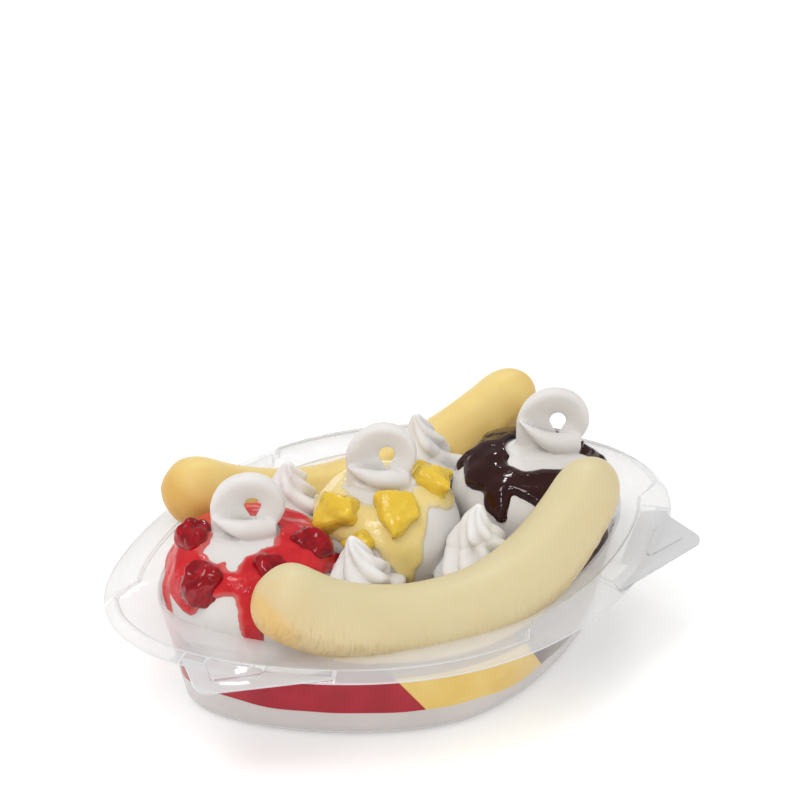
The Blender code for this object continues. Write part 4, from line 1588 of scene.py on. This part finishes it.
@dataclass
class Star:
    """Swirl of whipped cream piped through a star nozzle, drawn out to a point."""

    name: str
    foot: tuple[float, float, float]
    radius: float
    height: float
    turn: float
    lean: tuple[float, float]
    turns: float = 1.7
    twist: float = 1.7
    lobes: int = 6
    root: float = 0.0298
    core: float = 0.63
    coil_share: float = 0.13
    ridge_share: float = 0.30
    uneven_share: float = 0.38

    def build(self, material: bpy.types.Material) -> bpy.types.Object:
        """Make the star: a leaning cone of twisted ridges wound once and a half.

        Args:
            material: Its finish.

        Returns:
            The piece.
        """
        def shape(turn: float, share: float) -> Vector:
            """Place on the star.

            Args:
                turn: Round its axis, radians.
                share: Share of the way from its foot to its point.

            Returns:
                The place.
            """
            climb = max(share * 1.14 - 0.14, 0.0)
            coil = (climb ** 0.85 * self.turns - turn / (2 * pi) + self.turn) % 1.0
            bulge = sin(pi * coil) ** 0.55
            ridge = abs(cos(self.lobes / 2 * (turn + self.turn * 2.0 + self.twist * climb * 2.0))) ** 0.8
            uneven = noise.noise(Vector((cos(turn) * 1.3, sin(turn) * 1.3, climb * 3.0 + self.turn * 5)))
            full = (1 - climb) ** 0.70 * (1 - 0.30 * climb ** 2)
            reach = self.radius * full * (self.core + self.coil_share * bulge + self.ridge_share * ridge
                                          + self.uneven_share * uneven)
            reach *= min(share / 0.08, 1.0)
            reach += self.radius * 0.03 * min(share / 0.1, 1.0) * (1 if climb < 0.999 else 0)
            height = self.foot[2] + self.height * climb if climb > 0 else self.root + (
                self.foot[2] - self.root) * share / 0.1228
            drift = climb ** 2
            return Vector((self.foot[0] + self.lean[0] * drift + reach * cos(turn),
                           self.foot[1] + self.lean[1] * drift + reach * sin(turn),
                           height + 0.0016 * (ridge - 0.5) * (1 - climb)))

        bm = moulded(180, 124, shape)
        for _ in range(2):
            bmesh.ops.smooth_vert(bm, verts=bm.verts[:], factor=0.5, use_axis_x=True, use_axis_y=True,
                                  use_axis_z=True)
        return finished(bm, f"{self.name}_star", material, Slot.WHIPPED, [self.name], crease=80.0)


# ------------------------------------------------------------------ fruit pieces


class Cut(Enum):
    """How a fruit piece was cut."""

    BERRY = "berry"
    WEDGE = "wedge"


LIFTS = {Cut.BERRY: 0.12, Cut.WEDGE: 0.30}  # share of its own thickness by which a piece sits above its seat


@dataclass
class Chunk:
    """A piece of fruit on a scoop: bearing and climb on it, size and spin."""

    name: str
    scoop: Scoop
    bearing: float
    climb: float
    size: tuple[float, float, float]
    spin: float
    cut: Cut

    def seat(self) -> tuple[Vector, Vector]:
        """Where the piece sits on the scoop.

        Returns:
            The place and the outward direction.
        """
        bearing, climb = radians(self.bearing), radians(self.climb)
        scoop = self.scoop
        flat = scoop.radius * cos(climb)
        place = Vector((scoop.centre[0] + flat * cos(bearing), scoop.centre[1] + flat * sin(bearing),
                        scoop.middle + scoop.rise * sin(climb)))
        out = Vector((cos(climb) * cos(bearing) / scoop.radius, cos(climb) * sin(bearing) / scoop.radius,
                      sin(climb) / scoop.rise)).normalized()
        return place, out

    def berry(self) -> bmesh.types.BMesh:
        """Soft half of a berry, dimpled, one end more pointed.

        Returns:
            A closed bmesh around the origin.
        """
        bm = bmesh.new()
        bmesh.ops.create_icosphere(bm, subdivisions=5, radius=1.0)
        for vertex in bm.verts:
            narrow = 1.0 - 0.28 * vertex.co.x
            vertex.co = Vector((vertex.co.x * self.size[0], vertex.co.y * self.size[1] * narrow,
                                vertex.co.z * self.size[2] * narrow))
        roughen(bm, 0.0060, 0.0026, self.spin)
        roughen(bm, 0.0026, 0.0005, self.spin)
        return bm

    def wedge(self) -> bmesh.types.BMesh:
        """Wedge cut from a ring of pineapple, with soft edges and fibres.

        Returns:
            A closed bmesh around the origin.
        """
        bm = bmesh.new()
        bmesh.ops.create_cube(bm, size=2.0)
        for vertex in bm.verts:
            narrow = 1.0 - 0.32 * vertex.co.x
            vertex.co = Vector((vertex.co.x * self.size[0], vertex.co.y * self.size[1] * narrow,
                                vertex.co.z * self.size[2]))
        bmesh.ops.bevel(bm, geom=bm.edges[:], offset=self.size[2] * 0.50, segments=3, profile=0.5,
                        affect="EDGES", material=-1)
        bmesh.ops.subdivide_edges(bm, edges=bm.edges[:], cuts=7, use_grid_fill=True)
        roughen(bm, 0.0060, 0.0016, self.spin)
        roughen(bm, 0.0022, 0.0005, self.spin)
        return bm

    def build(self, material: bpy.types.Material) -> bpy.types.Object:
        """Make the piece on its seat.

        Args:
            material: Its finish.

        Returns:
            The piece.
        """
        bm = self.berry() if self.cut is Cut.BERRY else self.wedge()
        place, out = self.seat()
        aim = out.to_track_quat("Z", "Y").to_matrix().to_4x4()
        matrix = Matrix.Translation(place + out * self.size[2] * LIFTS[self.cut]) @ aim @ Matrix.Rotation(
            radians(self.spin), 4, "Z")
        bmesh.ops.transform(bm, matrix=matrix, verts=bm.verts)
        slot = Slot.STRAWBERRY if self.cut is Cut.BERRY else Slot.PINEAPPLE
        return finished(bm, f"{self.name}_bit", material, slot, [self.name], crease=80.0)


# ------------------------------------------------------------------ studio


@dataclass
class Studio:
    """Pale floor, soft light and the camera."""

    azimuth: float = -27.376
    elevation: float = 30.216
    distance: float = 1.0381
    aim: tuple[float, float, float] = (0.0836, 0.1582, 0.0)
    lens: float = 106.63
    ambient: float = 0.95
    mirrored: float = 0.30

    def build(self) -> None:
        """Make the floor, the lights and the camera."""
        scene = bpy.context.scene
        scene.view_settings.view_transform = "Standard"
        scene.cycles.transparent_max_bounces = 16
        scene.cycles.transmission_bounces = 12
        scene.cycles.max_bounces = 16
        self.floor()
        self.sky(scene)
        self.lamp("key", (-0.45, -0.25, 0.95), 0.35, 2.8)
        self.lamp("glint_left", (-0.50, -0.70, 0.80), 0.06, 0.45)
        self.lamp("glint_back", (0.25, 0.60, 0.75), 0.12, 0.9)
        self.camera(scene)

    def floor(self) -> None:
        """Lay a plain pale floor."""
        bm = bmesh.new()
        bmesh.ops.create_grid(bm, x_segments=1, y_segments=1, size=6.0)
        mesh = bpy.data.meshes.new("floor")
        bm.to_mesh(mesh)
        bm.free()
        material = bpy.data.materials.new("floor")
        material.use_nodes = True
        shader = material.node_tree.nodes["Principled BSDF"]
        shader.inputs["Base Color"].default_value = (0.96, 0.96, 0.96, 1.0)
        shader.inputs["Emission Color"].default_value = (1.0, 1.0, 1.0, 1.0)
        shader.inputs["Emission Strength"].default_value = 0.13
        shader.inputs["Roughness"].default_value = 0.9
        shader.inputs["Specular IOR Level"].default_value = 0.0
        mesh.materials.append(material)
        item = bpy.data.objects.new("floor", mesh)
        bpy.context.scene.collection.objects.link(item)

    def sky(self, scene: bpy.types.Scene) -> None:
        """Surround the scene with soft white light that is dimmer where a gloss mirrors it.

        Args:
            scene: The scene.
        """
        world = bpy.data.worlds.new("studio")
        world.use_nodes = True
        tree = world.node_tree
        background = tree.nodes["Background"]
        background.inputs["Color"].default_value = (1.0, 1.0, 1.0, 1.0)
        path = tree.nodes.new("ShaderNodeLightPath")
        amount = tree.nodes.new("ShaderNodeMapRange")
        amount.inputs["To Min"].default_value = self.ambient
        amount.inputs["To Max"].default_value = self.mirrored
        tree.links.new(path.outputs["Is Glossy Ray"], amount.inputs["Value"])
        tree.links.new(amount.outputs["Result"], background.inputs["Strength"])
        scene.world = world

    def lamp(self, name: str, place: Sequence[float], size: float, power: float) -> None:
        """Hang one soft lamp that points at the dish.

        Args:
            name: Its name.
            place: Where it hangs.
            size: Side of its square face.
            power: Watts.
        """
        data = bpy.data.lights.new(name, "AREA")
        data.size = size
        data.energy = power
        item = bpy.data.objects.new(name, data)
        item.location = place
        item.rotation_euler = (Vector(place) - Vector((0.0, 0.0, 0.05))).to_track_quat("Z", "Y").to_euler()
        bpy.context.scene.collection.objects.link(item)

    def camera(self, scene: bpy.types.Scene) -> None:
        """Place the camera.

        Args:
            scene: The scene.
        """
        turn, climb = radians(self.azimuth), radians(self.elevation)
        back = Vector((sin(turn) * cos(climb), -cos(turn) * cos(climb), sin(climb)))
        data = bpy.data.cameras.new("camera")
        data.lens = self.lens
        data.sensor_width = 36.0
        item = bpy.data.objects.new("camera", data)
        item.location = Vector(self.aim) + back * self.distance
        item.rotation_euler = back.to_track_quat("Z", "Y").to_euler()
        scene.collection.objects.link(item)
        scene.camera = item


# ------------------------------------------------------------------ the whole


def main() -> None:
    """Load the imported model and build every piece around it."""
    logging.basicConfig(level=logging.INFO, format="%(message)s")
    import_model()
    Studio().build()
    dish = Dish()
    dish.build()
    Fillings(dish).build()

    ice = SOFT_ICE.build()
    scoops = [
        Scoop("ice_cream_strawberry", (-0.0565, 0.0010), 0.0312, 0.0440, 0.0250,
              (-0.0575, 0.0020, 0.0775), 1.00, (-0.0074, -0.0056, -0.0027)),
        Scoop("ice_cream_pineapple", (-0.0020, 0.0030), 0.0270, 0.0500, 0.0215,
              (-0.0045, 0.0030, 0.0830), 0.97, (-0.0094, -0.0066, -0.0034)),
        Scoop("ice_cream_chocolate", (0.0585, 0.0030), 0.0295, 0.0490, 0.0185,
              (0.0655, 0.0020, 0.0785), 1.03, (-0.0070, -0.0049, 0.0023)),
    ]
    bodies = [scoop.build(ice, 0.0005) for scoop in scoops]
    Sauce("strawberry_sauce_coat", scoops[0], Slot.STRAWBERRY_SAUCE, STRAWBERRY_GLAZE,
          STRAWBERRY_STROKES, 0.0016, 0.0008, 0.0026).build(bodies[0])
    Sauce("pineapple_sauce_coat", scoops[1], Slot.PINEAPPLE_SAUCE, PINEAPPLE_GLAZE,
          PINEAPPLE_STROKES, 0.0013, 0.0009, 0.0030).build(bodies[1])
    Sauce("chocolate_sauce_coat", scoops[2], Slot.CHOCOLATE_SAUCE, CHOCOLATE_GLAZE,
          CHOCOLATE_STROKES, 0.0024, 0.0005, 0.0044).build(bodies[2])

    Banana("banana_front", (-0.0700, -0.0365, 0.0705), (0.0690, -0.0300, 0.0755),
           (-0.0080, -0.0150, -0.0265), 0.0136, 0.88, FRONT_BANANA, (0.0036, -0.0044, -0.0018), 0.05).build()
    Banana("banana_back", (-0.0690, 0.0440, 0.0660), (0.0810, 0.0450, 0.0700),
           (0.0000, 0.0030, -0.0300), 0.0130, 0.85, BACK_BANANA).build()

    whipped = WHIPPED_CREAM.build()
    for star in (
            Star("cream_front_left", (-0.0262, -0.0262, 0.0420), 0.0165, 0.0275, 0.2, (-0.0030, 0.0030)),
            Star("cream_front_right", (0.0170, -0.0298, 0.0420), 0.0160, 0.0300, 0.62, (0.0010, 0.0010)),
            Star("cream_back_left", (-0.0290, 0.0300, 0.0460), 0.0160, 0.0235, 0.35, (0.0010, 0.0010)),
            Star("cream_back_right", (0.0300, 0.0322, 0.0460), 0.0155, 0.0290, 0.85, (-0.0050, 0.0000))):
        star.build(whipped)

    berry, pine = STRAWBERRY_BIT.build(), PINEAPPLE_BIT.build()
    for chunk in (
            Chunk("strawberry_1", scoops[0], 156.0, 52.0, (0.0080, 0.0062, 0.0050), 20.0, Cut.BERRY),
            Chunk("strawberry_2", scoops[0], 205.0, 34.0, (0.0085, 0.0075, 0.0055), 60.0, Cut.BERRY),
            Chunk("strawberry_3", scoops[0], 323.0, 48.0, (0.0078, 0.0062, 0.0050), 110.0, Cut.BERRY),
            Chunk("strawberry_4", scoops[0], 267.0, 45.0, (0.0085, 0.0055, 0.0045), 100.0, Cut.BERRY),
            Chunk("strawberry_5", scoops[0], 335.0, 16.0, (0.0050, 0.0042, 0.0034), 10.0, Cut.BERRY),
            Chunk("pineapple_1", scoops[1], 190.0, 40.0, (0.0075, 0.0065, 0.0045), 30.0, Cut.WEDGE),
            Chunk("pineapple_2", scoops[1], 256.0, 50.0, (0.0070, 0.0070, 0.0045), 15.0, Cut.WEDGE),
            Chunk("pineapple_3", scoops[1], 342.0, 56.0, (0.0072, 0.0062, 0.0045), 75.0, Cut.WEDGE),
            Chunk("pineapple_4", scoops[1], 221.0, 22.0, (0.0052, 0.0045, 0.0036), 45.0, Cut.WEDGE)):
        chunk.build(berry if chunk.cut is Cut.BERRY else pine)

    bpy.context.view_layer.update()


if __name__ == "__main__":
    main()
